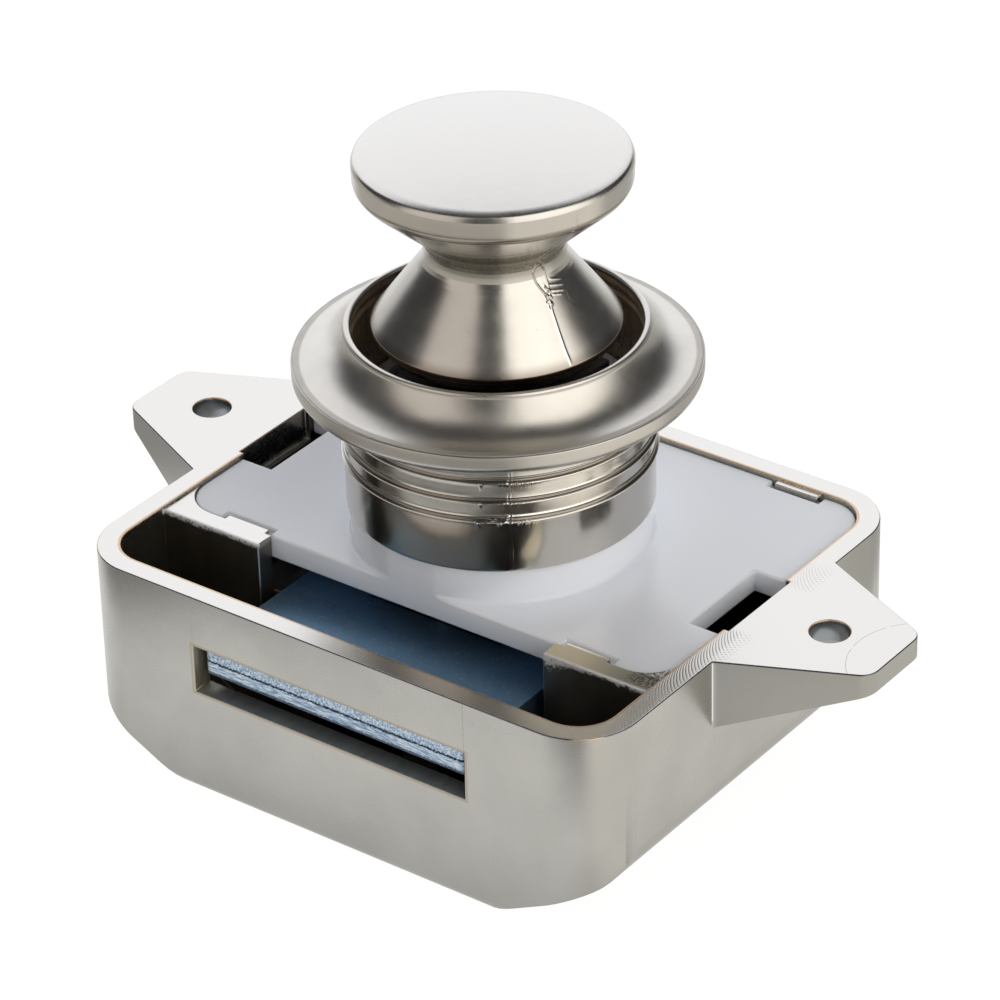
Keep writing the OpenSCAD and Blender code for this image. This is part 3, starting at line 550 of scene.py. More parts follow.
angles = dense_angles(SEAM - 2, 13, 0.25, 1.3)
mesh = grid_mesh("cast_rosette", turned(outline, angles, seam_shape), close_rows=True)
rosette = weigh_normals(place_piece("cast_rosette", mesh, "rosette", "nickel_rosette", "rosette"))
print("rosette:", len(mesh.polygons), "faces, outline of", len(outline), "points")

# %% [markdown]
# The knob is a second casting. Its seam runs up the cone, over the neck and under the head. Where the metal
# was let into the mould, the stub was cut off and filed by hand, which left a crumbled burr and short file
# strokes beside it. The knob is a turned outline too, and the marks are strokes on it.

# %% Knob outline
knob_low, knob_high = corners("knob")
HEAD_R, FACE_TOP, KNOB_LOW = knob_high[0], knob_high[2], knob_low[2]
# The domed face falls by FACE_CURVE times the radius squared, out to FACE_R
FACE_R, FACE_CURVE = 10.8, 0.0068
SHOULDER_R, SHOULDER_Z, BAND_LOW = 11.36, 34.06, 32.2
NECK_CORNER, NECK_FILLET = (5.06, 26.6), 2.35
SKIRT_R, SKIRT_TOP, SKIRT_LOW, SKIRT_BORE_R = 10.5, 19.35, 18.9, 8.9
# Hollow under the skirt and socket for the stem
HOLLOW_TOP, SOCKET_R, SOCKET_TOP = KNOB_LOW + 2, 4.45, KNOB_LOW + 6.3
# Where the outline needs more points, for the marks and for the burr: between two heights and outside the
# neck. Then the longest stretch there
MARKED, BURRED = (22.6, 30.5, 0.13), (23.6, 27.0, 0.07)
OUTSIDE_R = 5.5

face_r = np.linspace(0, FACE_R, 26)
face = np.stack([face_r, FACE_TOP - FACE_CURVE * face_r ** 2], -1)
side = rounded([(*face[-1], 0), (SHOULDER_R, FACE_TOP - 1.02, 0.5), (HEAD_R, SHOULDER_Z, 0.03),
                (HEAD_R - 0.06, BAND_LOW, 1.3), (*NECK_CORNER, NECK_FILLET), (SKIRT_R, SKIRT_TOP, 0.45),
                (SKIRT_R - 0.15, SKIRT_LOW, 0.5), (9.5, KNOB_LOW, 0.4), (SKIRT_BORE_R, KNOB_LOW, 0.2),
                (SKIRT_BORE_R, HOLLOW_TOP, 0.2), (SOCKET_R, HOLLOW_TOP, 0.1), (SOCKET_R, SOCKET_TOP, 0.1),
                (0, SOCKET_TOP, 0)], steps=9)
outline = refine(np.vstack([face[:-1], side]), 0.35)


def finer(outline, low, high, longest):
    """The outline with more points where it is outside the neck and its height is between low and high."""
    chosen = np.flatnonzero((outline[:, 1] > low) & (outline[:, 1] < high) & (outline[:, 0] > OUTSIDE_R))
    first, last = chosen[0], chosen[-1] + 1
    return np.vstack([outline[:first], refine(outline[first:last], longest), outline[last:]])


outline = finer(finer(outline, *MARKED), *BURRED)
print("knob outline:", len(outline), "points")

# %% Knob
# The seam's turn round the axis in degrees, and the radius at which turns become lengths
KNOB_SEAM, SEAM_R = -18.2, 7
# Ridges of the seam and the burr: path, height, width
SEAM_PATHS = [
    ([(-18.4, 19.45), (-18.6, 20.7), (-17.9, 22.2), (-16.9, 23.5), (-16.5, 24.3)], 0.06, 0.1),
    ([(-16, 23.9), (-17.9, 24.5), (-21.1, 25.3), (-22.7, 26.2), (-20.3, 26.6)], 0.08, 0.08),
    ([(-14.3, 24.1), (-11.6, 25.0), (-11.3, 25.9), (-13.5, 26.5)], 0.08, 0.08),
    ([(-13.5, 26.5), (-18.3, 27.6), (-16.2, 27.9), (-12.8, 28.4), (-18.8, 30.6), (-19.7, 31.8),
      (-18.7, 32.4), (-19.2, 33.8)], 0.055, 0.1),
    ([(-15, 24.8), (-12.9, 24.5), (-16.4, 24.3), (-13.6, 24.1), (-18, 23.9), (-15, 23.7), (-17, 23.5)],
     0.13, 0.09)]
# Strokes of the file, and three scratches
FILE_PATHS = [
    ([(-8, 25.2), (2, 24.85)], 0.045, 0.06),
    ([(-11, 24.86), (0.7, 24.5)], 0.05, 0.06),
    ([(-12.3, 24.5), (-1.3, 24.16)], 0.05, 0.06),
    ([(-11.5, 24.2), (-4.6, 23.98)], 0.04, 0.05),
    ([(5, 24.1), (4.3, 23.6), (5.5, 22.9)], -0.012, 0.05),
    ([(9.7, 24), (9.9, 23.5), (10, 22.8)], -0.012, 0.05),
    ([(-0.2, 23.9), (-1.5, 23.4), (3.1, 22.8)], -0.012, 0.05)]
# Heights of the rough patch over the burr, of the line under the head and of the line on the neck
PATCH_Z, LINE_Z, NECK_LINE_Z = 27.3, 29.33, 27.25


def knob_shape(angle, radius, tall):
    """Adds the seam, the burr, the file's strokes, a rough patch over them and two fine lines at the neck."""
    off = apart(np.degrees(angle), KNOB_SEAM)
    outside = (tall > KNOB_LOW + 1.8) & (radius > OUTSIDE_R) & (tall < 34.0)
    push = np.zeros(angle.shape)
    for path, high, wide in SEAM_PATHS + FILE_PATHS:
        push = push + stroke(angle, tall, path, SEAM_R, high, wide)
    patch = bump(off, -5, 7) * bump(tall, PATCH_Z, 1.1)
    rough = 0.02 * grain(off * 1.1, tall * 3.1, seed=2) * patch
    line = -0.05 * bump(tall, LINE_Z, 0.09) * (radius < 8.6) * (1 - patch) * bump(off, 0, 140)
    neck_line = -0.03 * bump(tall, NECK_LINE_Z, 0.06) * (radius < 6.9) * (off < -8) * (off > -100)
    return radius + outside * (push + rough + line + neck_line), tall


angles = dense_angles(KNOB_SEAM + 12, 18, 0.32, 1.5)
mesh = grid_mesh("cast_knob", turned(outline, angles, knob_shape))
knob = weigh_normals(place_piece("cast_knob", mesh, "push_knob", "nickel_knob", "knob"))
print("knob:", len(mesh.polygons), "faces")

# %% [markdown]
# The casing, the cover and the bolt keep the solid model's own shape, which has every slot and recess.
# Sharp computer edges don't exist on real castings, so each is copied, its loose triangles are welded and
# joined into flat faces, and a bevel with rounded edges is added.

# %% Dressed copies of the solid model's nodes
BODY_OF = {name: body for body, names in frame["record"]["behaviour"]["bodies"].items() for name in names}
SLOT_OF = {part["node"]: part["material_slot"] for part in frame["record"]["subparts"]}
# Ear tips in the solid model: reach and half width, middle, slope of the underside. Then how far from its
# corner a tip's rounding reaches, and how much wider it is here
EAR_TIP, EAR_MIDDLE, EAR_SLOPE = (38.6, 3.75), 0.85, 0.378
TIP_REACH, TIP_WIDER = 0.8, 1.6
# Faces within FLAT degrees of one plane are joined, and edges over SHARP degrees are rounded
FLAT, SHARP, BEVEL_STEPS = 0.4, 30, 2


def widen_corners(mesh):
    """Gives the ears' tips a wider rounding. A rounding between two straight sides grows when its points are
    moved away from the sides' corner, and on the sloping underside each point keeps to the slope."""
    points = np.zeros(len(mesh.vertices) * 3)
    mesh.vertices.foreach_get("co", points)
    points = points.reshape(-1, 3) / MM
    side = np.sign(points[:, :1])
    for tip_side in (-1, 1):
        corner = np.c_[side * EAR_TIP[0], np.full(len(side), EAR_MIDDLE + tip_side * EAR_TIP[1])]
        away = points[:, :2] - corner
        near = np.linalg.norm(away, axis=1) < TIP_REACH
        moved = away * (near * (TIP_WIDER - 1))[:, None]
        points[:, :2] += moved
        points[:, 2] -= (points[:, 2] < -1) * np.abs(moved[:, 0]) * EAR_SLOPE
    mesh.vertices.foreach_set("co", (points * MM).ravel())
    mesh.update()


def dressed(node, name, edge):
    """A copy of a node whose sharp edges are rounded, edge millimetres wide."""
    mesh = nodes[node].data.copy()
    mesh.name = name
    mesh.materials.clear()
    tidy_up(mesh, FLAT)
    if node == "casing":
        widen_corners(mesh)
    piece = place_piece(name, mesh, BODY_OF[node], SLOT_OF[node], node)
    bevel = piece.modifiers.new("edges", "BEVEL")
    bevel.width, bevel.segments = edge * MM, BEVEL_STEPS
    bevel.limit_method, bevel.angle_limit = "ANGLE", math.radians(SHARP)
    bevel.use_clamp_overlap = False
    return weigh_normals(piece)


DRESSED = {"casing": ("cast_casing", 0.12), "cover_plate": ("moulded_cover", 0.22),
           "bolt_plate": ("stamped_bolt", 0.12), "plunger": ("moulded_plunger", 0.1),
           "drive_brackets": ("bent_brackets", 0.06), "bracket_rivets": ("rivet_heads", 0.05),
           "drive_pins": ("turned_pins", 0.05), "knob_screw": ("headed_screw", 0.06),
           "spring_washer": ("flat_washer", 0.04), "cam_follower": ("bent_wire", 0.03)}
pieces = {node: dressed(node, name, edge) for node, (name, edge) in DRESSED.items()}
pieces["rosette"], pieces["knob"] = rosette, knob
print("dressed:", ", ".join(piece.name for piece in pieces.values()))

# %% [markdown]
# The main spring is wire wound round a helix. The wire's section is a circle that stands across the helix,
# and at both ends it closes to a point, as cut wire is rounded. The share of its length that it keeps at the
# end of the knob's stroke is worked out.

# %% Main spring
WIRE_R, TURNS, SIDES = 0.3, 11, 12
spring_low, spring_high = corners("main_spring")
coil_r = spring_high[0] - WIRE_R
run = np.linspace(0, 1, TURNS * 36 + 1)
# Both ends get a few shrinking rings
caps = np.radians(np.linspace(0, 90, 5)[:-1])
thick = np.r_[np.sin(caps), np.ones(len(run)), np.sin(caps)[::-1]]
past_end = np.cos(caps) * WIRE_R / (2 * np.pi * coil_r * TURNS)
run = np.r_[-past_end, run, 1 + past_end[::-1]]
turn_by, rise = 2 * np.pi * TURNS * run, spring_high[2] - spring_low[2] - 2 * WIRE_R
middle = np.stack([coil_r * np.cos(turn_by), coil_r * np.sin(turn_by),
                   spring_low[2] + WIRE_R + np.clip(run, 0, 1) * rise], -1)
outward = np.stack([np.cos(turn_by), np.sin(turn_by), 0 * turn_by], -1)
along = unit(np.gradient(middle, axis=0))
across = np.cross(along, outward)
ring = 2 * np.pi * np.arange(SIDES) / SIDES
tube = middle[:, None] + WIRE_R * thick[:, None, None] * (
    np.cos(ring)[:, None] * outward[:, None] + np.sin(ring)[:, None] * across[:, None])
mesh = grid_mesh("coiled_spring", tube)
spring = weigh_normals(place_piece("coiled_spring", mesh, BODY_OF["main_spring"], SLOT_OF["main_spring"],
                                   "main_spring"))
push = next(joint for joint in frame["record"]["behaviour"]["joints"] if joint["name"] == "knob_push")
spring_foot = push["deforming_nodes"][0]["fixed_end_z_m"]
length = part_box("main_spring")[1].z - spring_foot
keep = (length - push["range_m"][1]) / length
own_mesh(spring)
pieces["main_spring"] = spring
print("spring:", len(mesh.polygons), "faces, keeps", round(keep, 3))

# %% [markdown]
# Nickel plate isn't one tone. The plate's thickness drifts over some millimetres, the satin is uneven where
# the casting was tumbled, and dust left small pores. All are noise in the piece's own millimetres.

# %% Nickel


def toned(colour, share):
    """The colour, made darker or brighter by share."""
    return [share * c for c in colour]


def nickel(name, colour, roughness, pores, uneven=0.05):
    """A nickel finish to build on. Gives the finish, its colour and roughness, its soft cloud, and the
    height of its grain and pores."""
    f = Finish(name)
    drift, cloud, fine = f.noise(0.11, 3), f.noise(0.7, 2), f.noise(3.5, 3)
    pore = f.step(f.noise(2.6, 1), 0.79, 0.81) * pores
    tone = f.mix(f.step(drift, 0.3, 0.7), toned(colour, 0.94), toned(colour, 1.05))
    tone = f.mix(pore, tone, toned(colour, 0.35))
    rough = roughness + (cloud - 0.5) * (2 * uneven) + (fine - 0.5) * uneven + pore * 0.2
    return f, tone, rough, cloud, fine * 0.01 - pore * 0.6


# %% [markdown]
# The casing has three looks. Its top was milled bright, its outer walls are plated and tumbled, and inside
# the walls get painted shade, a dark brown. Which look a spot gets is told by masks. A mask is 1 on its part
# of the casing and 0 elsewhere, with a soft passage between, worked out from where the spot lies and whether
# it faces up.

# %% Casing: where things are
# The walls' thickness, and the planes of their faces
WALL = 2.0
FRONT, BACK = case_low[1], case_high[1]
INNER_X, INNER_FRONT, INNER_BACK = CASE_X - WALL, FRONT + WALL, BACK - WALL
# The screw holes in the ears, and the slot, which is a little larger than the bolt
HOLE_X, HOLE_R = 32.25, 1.7
bolt_low, bolt_high = corners("bolt_plate")
SLOT_X, SLOT_LOW, SLOT_TOP = bolt_high[0] + 0.48, bolt_low[2] - 1.25, bolt_high[2] + 0.17
SLOT_Z, SLOT_HALF = (SLOT_LOW + SLOT_TOP) / 2, (SLOT_TOP - SLOT_LOW) / 2
# The two cross ribs of the front compartment: their front face, thickness and free ends
CROSS_Y, CROSS_T, CROSS_X = -14.54, 1.84, 14.7
CROSS_MIDDLE = CROSS_Y + CROSS_T / 2
print("slot from", round(SLOT_LOW, 2), "to", round(SLOT_TOP, 2), "mm, walls' inside at", round(INNER_X, 2))

# %% Casing: parts of the surface
WALLS = (0.47, 0.46, 0.43)
f, tone, rough, cloud, _ = nickel("nickel_casing", WALLS, 0.27, pores=0, uneven=0.03)
facing_up = f.node("ShaderNodeSeparateXYZ", sockets={0: f.node("ShaderNodeTexCoord", out="Normal")}, out=2)
top = f.step(facing_up, 0.75, 0.95) * f.step(f.z, -0.9, -0.6)
# Where the compartments' inner walls get painted shade
inside = (f.step(abs(f.x), INNER_X + 0.35, INNER_X + 0.1) * f.step(f.z, -0.45, -0.9) * (1 - top)
          * f.span(f.y, INNER_FRONT - 0.15, INNER_FRONT + 0.05, INNER_BACK + 0.05, INNER_BACK + 0.3))
# A painted reflection of the bright cover on the front wall's inner face, most of it on the left and high up
painted_cover_reflection = (inside * f.step(f.y, INNER_FRONT + 0.4, INNER_FRONT + 0.1) * f.step(f.z, -6.5, -4)
                * f.step(f.x, 15, 9))
ear_side = f.step(abs(f.x), CASE_X + 0.05, CASE_X + 0.45) * (1 - top)
from_hole = distance(abs(f.x) - HOLE_X, f.y - EAR_MIDDLE)
hole_wall = f.step(from_hole, HOLE_R + 0.2, HOLE_R + 0.05) * (1 - top)
slot = (f.step(abs(f.x), SLOT_X + 0.32, SLOT_X + 0.12)
        * f.span(f.y, FRONT + 0.02, FRONT + 0.1, INNER_FRONT + 0.2, INNER_FRONT + 0.6)
        * f.near(f.z, SLOT_Z, SLOT_HALF + 0.09, SLOT_HALF + 0.29))
slot_end = slot * f.step(abs(f.x), SLOT_X - 0.13, SLOT_X + 0.02)
print("parts of the casing:", len(f.tree.nodes), "nodes")

# %% [markdown]
# The milling cutter was wider than the rim and left fine arcs on the right rim and at the ear's root.
# Across them run the arcs of its trailing edge, which cut them into dots. A disc sander touched the right
# ear.

# %% Casing: marks of the tools
# The cutter's arcs: their pitch, radius and middles, and the power that thins them. Then the sander's disc
ARC_PITCH, ARC_R, ARC_X, ARC_THIN = 0.43, 5.2, 30.2, 2.5
DISC_X, DISC_Y, DISC_R = 41.35, 0.82, 6.38

# How far an arc's point lies above the arc's middle, for each place across the rim
bow = f.larger(ARC_R ** 2 - (f.x - ARC_X) * (f.x - ARC_X), 0.0) ** 0.5
arcs, back_arcs = (f.wave(f.y + way * bow, ARC_PITCH) ** ARC_THIN for way in (1, -1))
dotted = f.larger(f.larger(f.step(f.y, -12, -15), f.step(f.y, 0, 3)), f.step(f.x, 26.3, 26.9))
milled_rim = (f.span(f.x, 24.9, 25.1, 27.0, 28.2) * f.span(f.y, -22, -20, 7.5, 9.5)
              * (1 - f.near(f.y, 0.7, 3.6, 4.6)))
cut = arcs * (1 - dotted * (1 - back_arcs)) * milled_rim * top
sanded_rim = (f.near(distance(f.x - DISC_X, f.y - DISC_Y), DISC_R, 0.02, 0.07) * f.step(f.x, 30, 32)
              * f.step(f.noise(1.1, 2), 0.38, 0.5) * top)
pits = f.step(f.noise(2.6, 1), 0.83, 0.85) * top
# The moulds' slide core left fine lines down from the rim at the slot's ends
core_line = (f.near(abs(f.x), SLOT_X + 0.02, 0.02, 0.06) * f.step(f.y, FRONT + 0.2, FRONT + 0.05)
             * f.step(f.z, -9.3, -4.8))
print("marks of the tools:", len(f.tree.nodes), "nodes")

# %% [markdown]
# Edges tell most about a casting. The top's outer edge is a thin dark line. Its inner edge is burnished to
# a thin yellow one, and the flash that broke off under the cross ribs' edges left fine beads. Their sparkle
# is
# painted: bright matt colour as painted glints.

# %% Casing: edges
edge = f.span(facing_up, 0.15, 0.4, 0.85, 0.97) * f.step(f.z, -0.35, -0.2)
outer = f.larger(f.step(abs(f.x), 25.6, 26.2), f.step(abs(f.y - MIDDLE_Y), 21.6, 22.0))
outer = outer * (1 - f.step(from_hole, HOLE_R + 0.5, HOLE_R + 0.3))
burnished = edge * (1 - outer) * (1 - f.near(f.y, -13.2, 1.7, 1.9))
# The burnished line lies just outside the compartments' rounded outline. Its distance is measured from the
# middles of the round corners, and from the straight lines that join them
CORNER_R, CORNER_X, CORNER_Y = 3.6, 21.45, 17.05
past_x = f.larger(abs(f.x) - CORNER_X, 0.0)
past_y = f.larger(abs(f.y - MIDDLE_Y) - CORNER_Y, 0.0)
rim_line = (f.near(distance(past_x, past_y), CORNER_R + 0.06, 0.05, 0.13) * f.step(facing_up, 0.6, 0.8)
            * f.step(f.z, -0.2, -0.1))
past_slot = f.larger(abs(f.x) - (SLOT_X + 0.22), abs(f.z - SLOT_Z) - (SLOT_HALF + 0.19))
slot_edge = f.near(past_slot, 0, 0.06, 0.14) * f.step(f.y, FRONT + 0.2, FRONT + 0.1)
# Most flash is left at the right rib's free end, where it reaches further down
ragged = f.noise(0.8, 3) * 0.9
free_end = f.span(f.x, 0, 1, 14.9, 18) * 1.6
reach = f.step(f.z, -0.6 - ragged - free_end, -0.3)
beads = f.step(f.noise(4.5, 1), 0.76 - reach * 0.45, 0.8 - reach * 0.45)
on_ribs = f.near(f.y, CROSS_Y, 0.15, 0.3) * f.span(abs(f.x), 14.4, 14.6, INNER_X + 0.25, INNER_X + 0.45)
# The beads are real bumps, and their sparkle is a painted glint in a bright colour
flash = beads * reach * on_ribs * f.step(f.z, -0.2, -0.3)
# A painted highlight down the cross ribs' free-end corners
rib_corner_highlight = f.near(abs(f.x), CROSS_X, 0.07, 0.13) * f.near(f.y, CROSS_Y, 0.07, 0.13) * f.step(f.z, -9, -0.5)
# A painted highlight runs down the fillet where the right ear's front meets the wall
fillet = (f.near(f.x, CASE_X + 0.03, 0.03, 0.07) * f.near(f.y, -8.25, 0.05, 0.1)
          * f.span(f.z, -6, -5.4, -0.3, -0.1))
# Beside the cover's right corner the edge is crumbled
crumbled = (f.span(f.x, 21.8, 23.4, 25.0, 25.2) * f.span(f.y, -14.4, -13.8, -11.4, -10.6)
            * f.step(f.noise(4.5, 2), 0.4, 0.55))
print("edges of the casing:", len(f.tree.nodes), "nodes")

# %% [markdown]
# With the masks in hand the finish is laid on in coats, from the plate up to the last scratch. A coat hides
# what lies under it as far as its mask says.

# %% Casing finish
MILLED, SCRATCH, INSIDE_SHADE = (0.605, 0.59, 0.56), (0.2, 0.19, 0.18), (0.15, 0.135, 0.11)
RIB_YELLOW, RIB_OLIVE, BURNISH = (0.62, 0.57, 0.45), (0.3, 0.29, 0.24), (0.62, 0.44, 0.28)
DARK_EDGE, PAINTED_GLINT = (0.1, 0.11, 0.15), (0.8, 0.81, 0.83)
CASE_RELIEF = 0.03

rib_top = top * f.near(f.y, CROSS_MIDDLE, 1.1, 1.3) * f.span(f.x, 5, 6, 24.9, 25.1)
# Painted shade inside the compartments: dark brown, streaked up and down
brown = f.mix(f.noise(0.5, 4, stretch=(1, 1, 4)), INSIDE_SHADE, toned(INSIDE_SHADE, 2))
sawn = f.mix(f.noise(1.5, 3, stretch=(1, 4, 4)), (0.3, 0.3, 0.29), (0.55, 0.55, 0.52))
banded = f.mix(f.noise(1.6, 2, stretch=(1, 1, 9)), (0.2, 0.18, 0.1), (0.85, 0.8, 0.6))
tone = f.coats(
    tone,
    (top, MILLED), (rib_top, f.mix(f.step(f.x, 17, 23.5), RIB_YELLOW, RIB_OLIVE)),
    (cut * 0.7, SCRATCH), (sanded_rim * 0.4, SCRATCH), (pits, (0.2, 0.18, 0.15)),
    (inside, brown), (painted_cover_reflection, (0.75, 0.73, 0.68)),
    (ear_side, toned(WALLS, 0.76)), (hole_wall, (0.3, 0.32, 0.335)),
    (slot, sawn), (slot_end, banded),
    (edge * outer, DARK_EDGE), (burnished, BURNISH), (rim_line * 0.85, (0.5, 0.34, 0.21)),
    (slot_edge * 0.7, (0.4, 0.33, 0.24)),
    (flash, PAINTED_GLINT), (rib_corner_highlight, (0.7, 0.72, 0.75)),
    (core_line * 0.2, SCRATCH), (fillet, (0.8, 0.8, 0.79)), (crumbled * 0.85, (0.13, 0.13, 0.11)))
# The beads with their painted glints, the burnished line and the painted cover reflection shine less like
# metal
matt = f.larger(flash * 0.85, painted_cover_reflection * 0.6 + burnished * 0.7)
f.set(Base_Color=tone, Metallic=1 - matt,
      Roughness=rough * (1 - top) + top * 0.27 + rib_top * 0.25 + inside * 0.12 + (flash + slot) * 0.25
      + crumbled * 0.3)
f.relief(cloud * 0.15 * (1 - top) - core_line * 0.4 - cut * 0.25 + flash * 0.8 - pits * 0.5 - crumbled,
         CASE_RELIEF)
materials = {"nickel_casing": f.material}
print("casing finish:", len(f.tree.nodes), "nodes")

# %% [markdown]
# The rosette and the knob have a pearly plate. Inside the mouth, where the current of the bath hardly
# reaches, it's thin and brown. The ribs' hollows, the knob's neck under its head, the head's lower edge and
# the skirt's foot get painted shade: darker, brownish tones where shade falls.

# %% Rosette finish
PEARL, BROWN = (0.53, 0.508, 0.472), (0.17, 0.13, 0.092)
LINE_PITCH = 0.14

f, tone, rough, cloud, specks = nickel("nickel_rosette", PEARL, 0.3, pores=0.4)
from_axis = distance(f.x, f.y)
sleeve = f.step(f.z, BOARD_T, BOARD_T - 0.3)
mouth = f.step(from_axis, MOUTH_R + 0.25, MOUTH_R + 0.1) * f.step(f.z, 18.95, 18.75)
# Painted shade in the ribs' hollows: dark brown, with fine lines
hollow = sum(f.near(f.z, z + 0.26, 0.12, 0.2) for z in RIB_Z)
hollow = hollow * sleeve * f.step(from_axis, SLEEVE_R - 0.3, SLEEVE_R - 0.2)
lines = f.wave(f.z, LINE_PITCH)
streaks = f.noise(1.4, 3, stretch=(1, 1, 9))
tone = f.coats(tone, (sleeve, toned(PEARL, 1.2)), (hollow * (0.55 + lines * 0.4), (0.14, 0.115, 0.09)),
               (mouth, f.mix(streaks, toned(BROWN, 1.8), toned(BROWN, 4.2))))
# The flange's rim is worn: its corner is rougher
worn = f.near(from_axis, FLANGE_R - 0.35, 0.25, 0.5) * f.step(f.z, CREASE_Z - 0.06, CREASE_Z - 0.02)
f.set(Base_Color=tone, Metallic=1 - mouth * 0.6, Roughness=rough - sleeve * 0.13 + mouth * 0.1 + worn * 0.25)
f.relief(cloud * 0.3 + specks + hollow * lines * 0.4, 0.02)
materials["nickel_rosette"] = f.material
print("rosette finish:", len(f.tree.nodes), "nodes")

# %% Knob finish
NECK_Z, EDGE_Z = 27.85, 32.45
# The seam's ridge has a painted highlight. It starts at this turn and leans from this height on, in degrees
# a millimetre
RIDGE_TURN, RIDGE_Z, RIDGE_LEAN = -18.55, 20.9, 0.6
SATIN_DARK, SATIN_LIGHT = (0.565, 0.55, 0.525), (0.605, 0.59, 0.57)

f, tone, rough, cloud, specks = nickel("nickel_knob", PEARL, 0.24, pores=0.35)
from_axis = distance(f.x, f.y)
# Painted shade: a darker olive round the neck, under the head
neck = f.near(f.z, NECK_Z, 1.3, 2.2) * f.step(from_axis, 8.4, 7.9)
# Painted shade on the skirt's foot, deep in the rosette's mouth
skirt_foot_shade = f.step(f.z, 20.3, 19.1)
leaning = f.larger(f.z - RIDGE_Z, 0.0)
off_seam = (f.heading(f.y, f.x) - RIDGE_TURN - leaning * RIDGE_LEAN) * from_axis * (math.pi / 180)
ridge = f.near(off_seam, -0.03, 0.04, 0.1) * f.span(f.z, 19.4, 19.6, 24.1, 24.4)
face_part = f.step(f.z, 34.4, 34.7)
# Painted shade: a brown line along the head's lower edge
under_edge_shade = f.near(f.z, EDGE_Z, 0.1, 0.3) * f.step(from_axis, 10.6, 10.8)
tone = f.coats(tone, (face_part, f.mix(cloud, SATIN_DARK, SATIN_LIGHT)),
               (under_edge_shade * 0.7, (0.27, 0.22, 0.17)), (neck, (0.38, 0.36, 0.31)),
               (skirt_foot_shade * 0.85, BROWN), (ridge, (0.85, 0.84, 0.8)))
f.set(Base_Color=tone, Metallic=1.0, Roughness=rough + face_part * 0.07 + neck * 0.03)
# The neck was turned smooth. Its cloud fades to the mean, because a step in height would show as a ring
f.relief((cloud - 0.5) * (1 - neck) * 0.3 + cloud * face_part * 0.5 + specks, 0.02)
materials["nickel_knob"] = f.material
print("knob finish:", len(f.tree.nodes), "nodes")

# %% [markdown]
# The cover is glossy white plastic with a cold tint. Light gets a little way into it, which softens the
# shade on its edges. The plunger is dark plastic, duller, and hardly seen.

# %% Plastic finishes
LIGHT_DEPTH = 2.0

f = Finish("white_plastic")
haze, flow = f.noise(0.09, 3), f.noise(0.5, 3, stretch=(3, 1, 1))
f.set(Base_Color=f.mix(haze, (0.77, 0.805, 0.885), (0.82, 0.85, 0.92)), Roughness=0.1 + flow * 0.12,
      Subsurface_Weight=0.5, Subsurface_Radius=(1.0, 1.0, 1.0), Subsurface_Scale=LIGHT_DEPTH * MM,
      Specular_IOR_Level=0.5)
f.relief(haze * 0.6 + flow * 0.3, 0.03)
materials["white_plastic"] = f.material

f = Finish("dark_plastic")
mottle = f.noise(0.8, 4)
f.set(Base_Color=f.mix(mottle, (0.03, 0.027, 0.022), (0.055, 0.05, 0.04)), Roughness=0.55 + mottle * 0.2,
      Specular_IOR_Level=0.3)
f.relief(f.noise(5, 3), 0.01)
materials["dark_plastic"] = f.material
print("plastics: white_plastic, dark_plastic")

# %% [markdown]
# The bolt is zinc plate passivated blue. Its flat is speckled. Its nose was cut by shears: it's speckled
# above the line where they let go, and drawn out sideways in streaks below it.

# %% Zinc finish
NOSE_START, LET_GO_Z, LOW_LINE_Z = -21.6, -6.35, -7.5

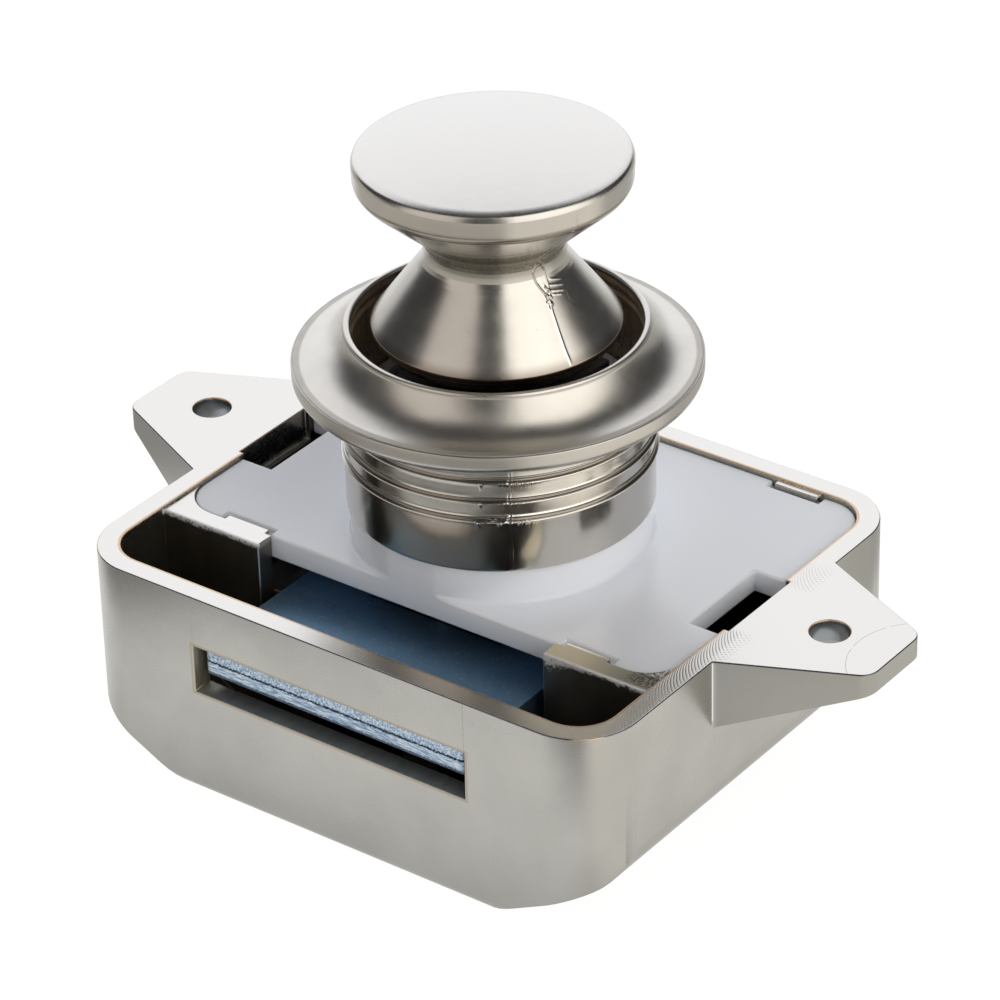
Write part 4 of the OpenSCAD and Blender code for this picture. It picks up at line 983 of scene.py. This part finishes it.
f = Finish("blue_zinc")
nose = f.step(f.y, NOSE_START, NOSE_START - 1)
speck, patch = f.noise(5.5, 3), f.noise(0.5, 3)
plate = f.mix(patch, (0.18, 0.33, 0.5), (0.26, 0.42, 0.59))
plate = f.mix(f.step(speck, 0.6, 0.75), plate, (0.55, 0.58, 0.6))
sparkle = f.mix(f.step(f.z, -6.3, -6.5), f.noise(6.5, 3), f.noise(9, 3, stretch=(7, 1, 1)))
sparkle = f.node("ShaderNodeSeparateColor", None, {0: sparkle})
rough_line = f.near(f.z + (speck - 0.5) * 0.5, LET_GO_Z, 0.05, 0.14)
low_line = f.near(f.z + (speck - 0.5) * 0.7, LOW_LINE_Z, 0.08, 0.25) * 0.75
# The nose's lowest part, facing the slot's floor, gets painted shade in a dark blue
sheared = f.coats(
    f.mix(f.step(sparkle, 0.3, 0.66), (0.22, 0.34, 0.5), (0.7, 0.81, 0.92)),
    (f.step(sparkle, 0.62, 0.74), (0.92, 0.96, 1.0)), (f.step(f.z, -8.2, -8.7), (0.08, 0.16, 0.22)),
    (f.step(abs(f.x), 13.0, 13.4) * 0.6, (0.25, 0.23, 0.32)),
    (f.larger(rough_line, low_line), (0.03, 0.05, 0.1)))
f.set(Base_Color=f.mix(nose, plate, sheared), Metallic=1.0, Roughness=0.4 + speck * 0.2 + nose * 0.06)
f.relief(speck * 0.5 + nose * (sparkle * 1.2 - rough_line * 1.5), 0.03)
materials["blue_zinc"] = f.material
print("zinc finish:", len(f.tree.nodes), "nodes")

# %% [markdown]
# The small pieces inside are plain plated steel, drawn or rolled. Each finish goes on the pieces that take
# it, and on the solid model's own nodes too.

# %% Steel finishes


def steel(name, dark, light, roughness, stretch):
    """Plain plated steel: drawn or rolled grain along one way, with a few darker spots."""
    f = Finish(name)
    grain_lines, spots = f.noise(3, 4, stretch=stretch), f.noise(0.6, 3)
    f.set(Base_Color=f.mix(grain_lines * 0.6 + spots * 0.4, dark, light), Metallic=1.0,
          Roughness=roughness + (spots - 0.5) * 0.2)
    f.relief(grain_lines, 0.01)
    return f.material


materials["screw_steel"] = steel("screw_steel", (0.38, 0.39, 0.41), (0.55, 0.56, 0.58), 0.3, (1, 1, 1))
materials["spring_steel"] = steel("spring_steel", (0.2, 0.2, 0.21), (0.36, 0.36, 0.38), 0.35, (4, 4, 1))
materials["sheet_steel"] = steel("sheet_steel", (0.34, 0.36, 0.38), (0.5, 0.52, 0.54), 0.35, (1, 8, 1))
for node, piece in pieces.items():
    piece.data.materials.append(materials[SLOT_OF[node]])
for name, node in nodes.items():
    node.data.materials.clear()
    node.data.materials.append(materials[SLOT_OF[name]])
print("finishes:", len(materials))
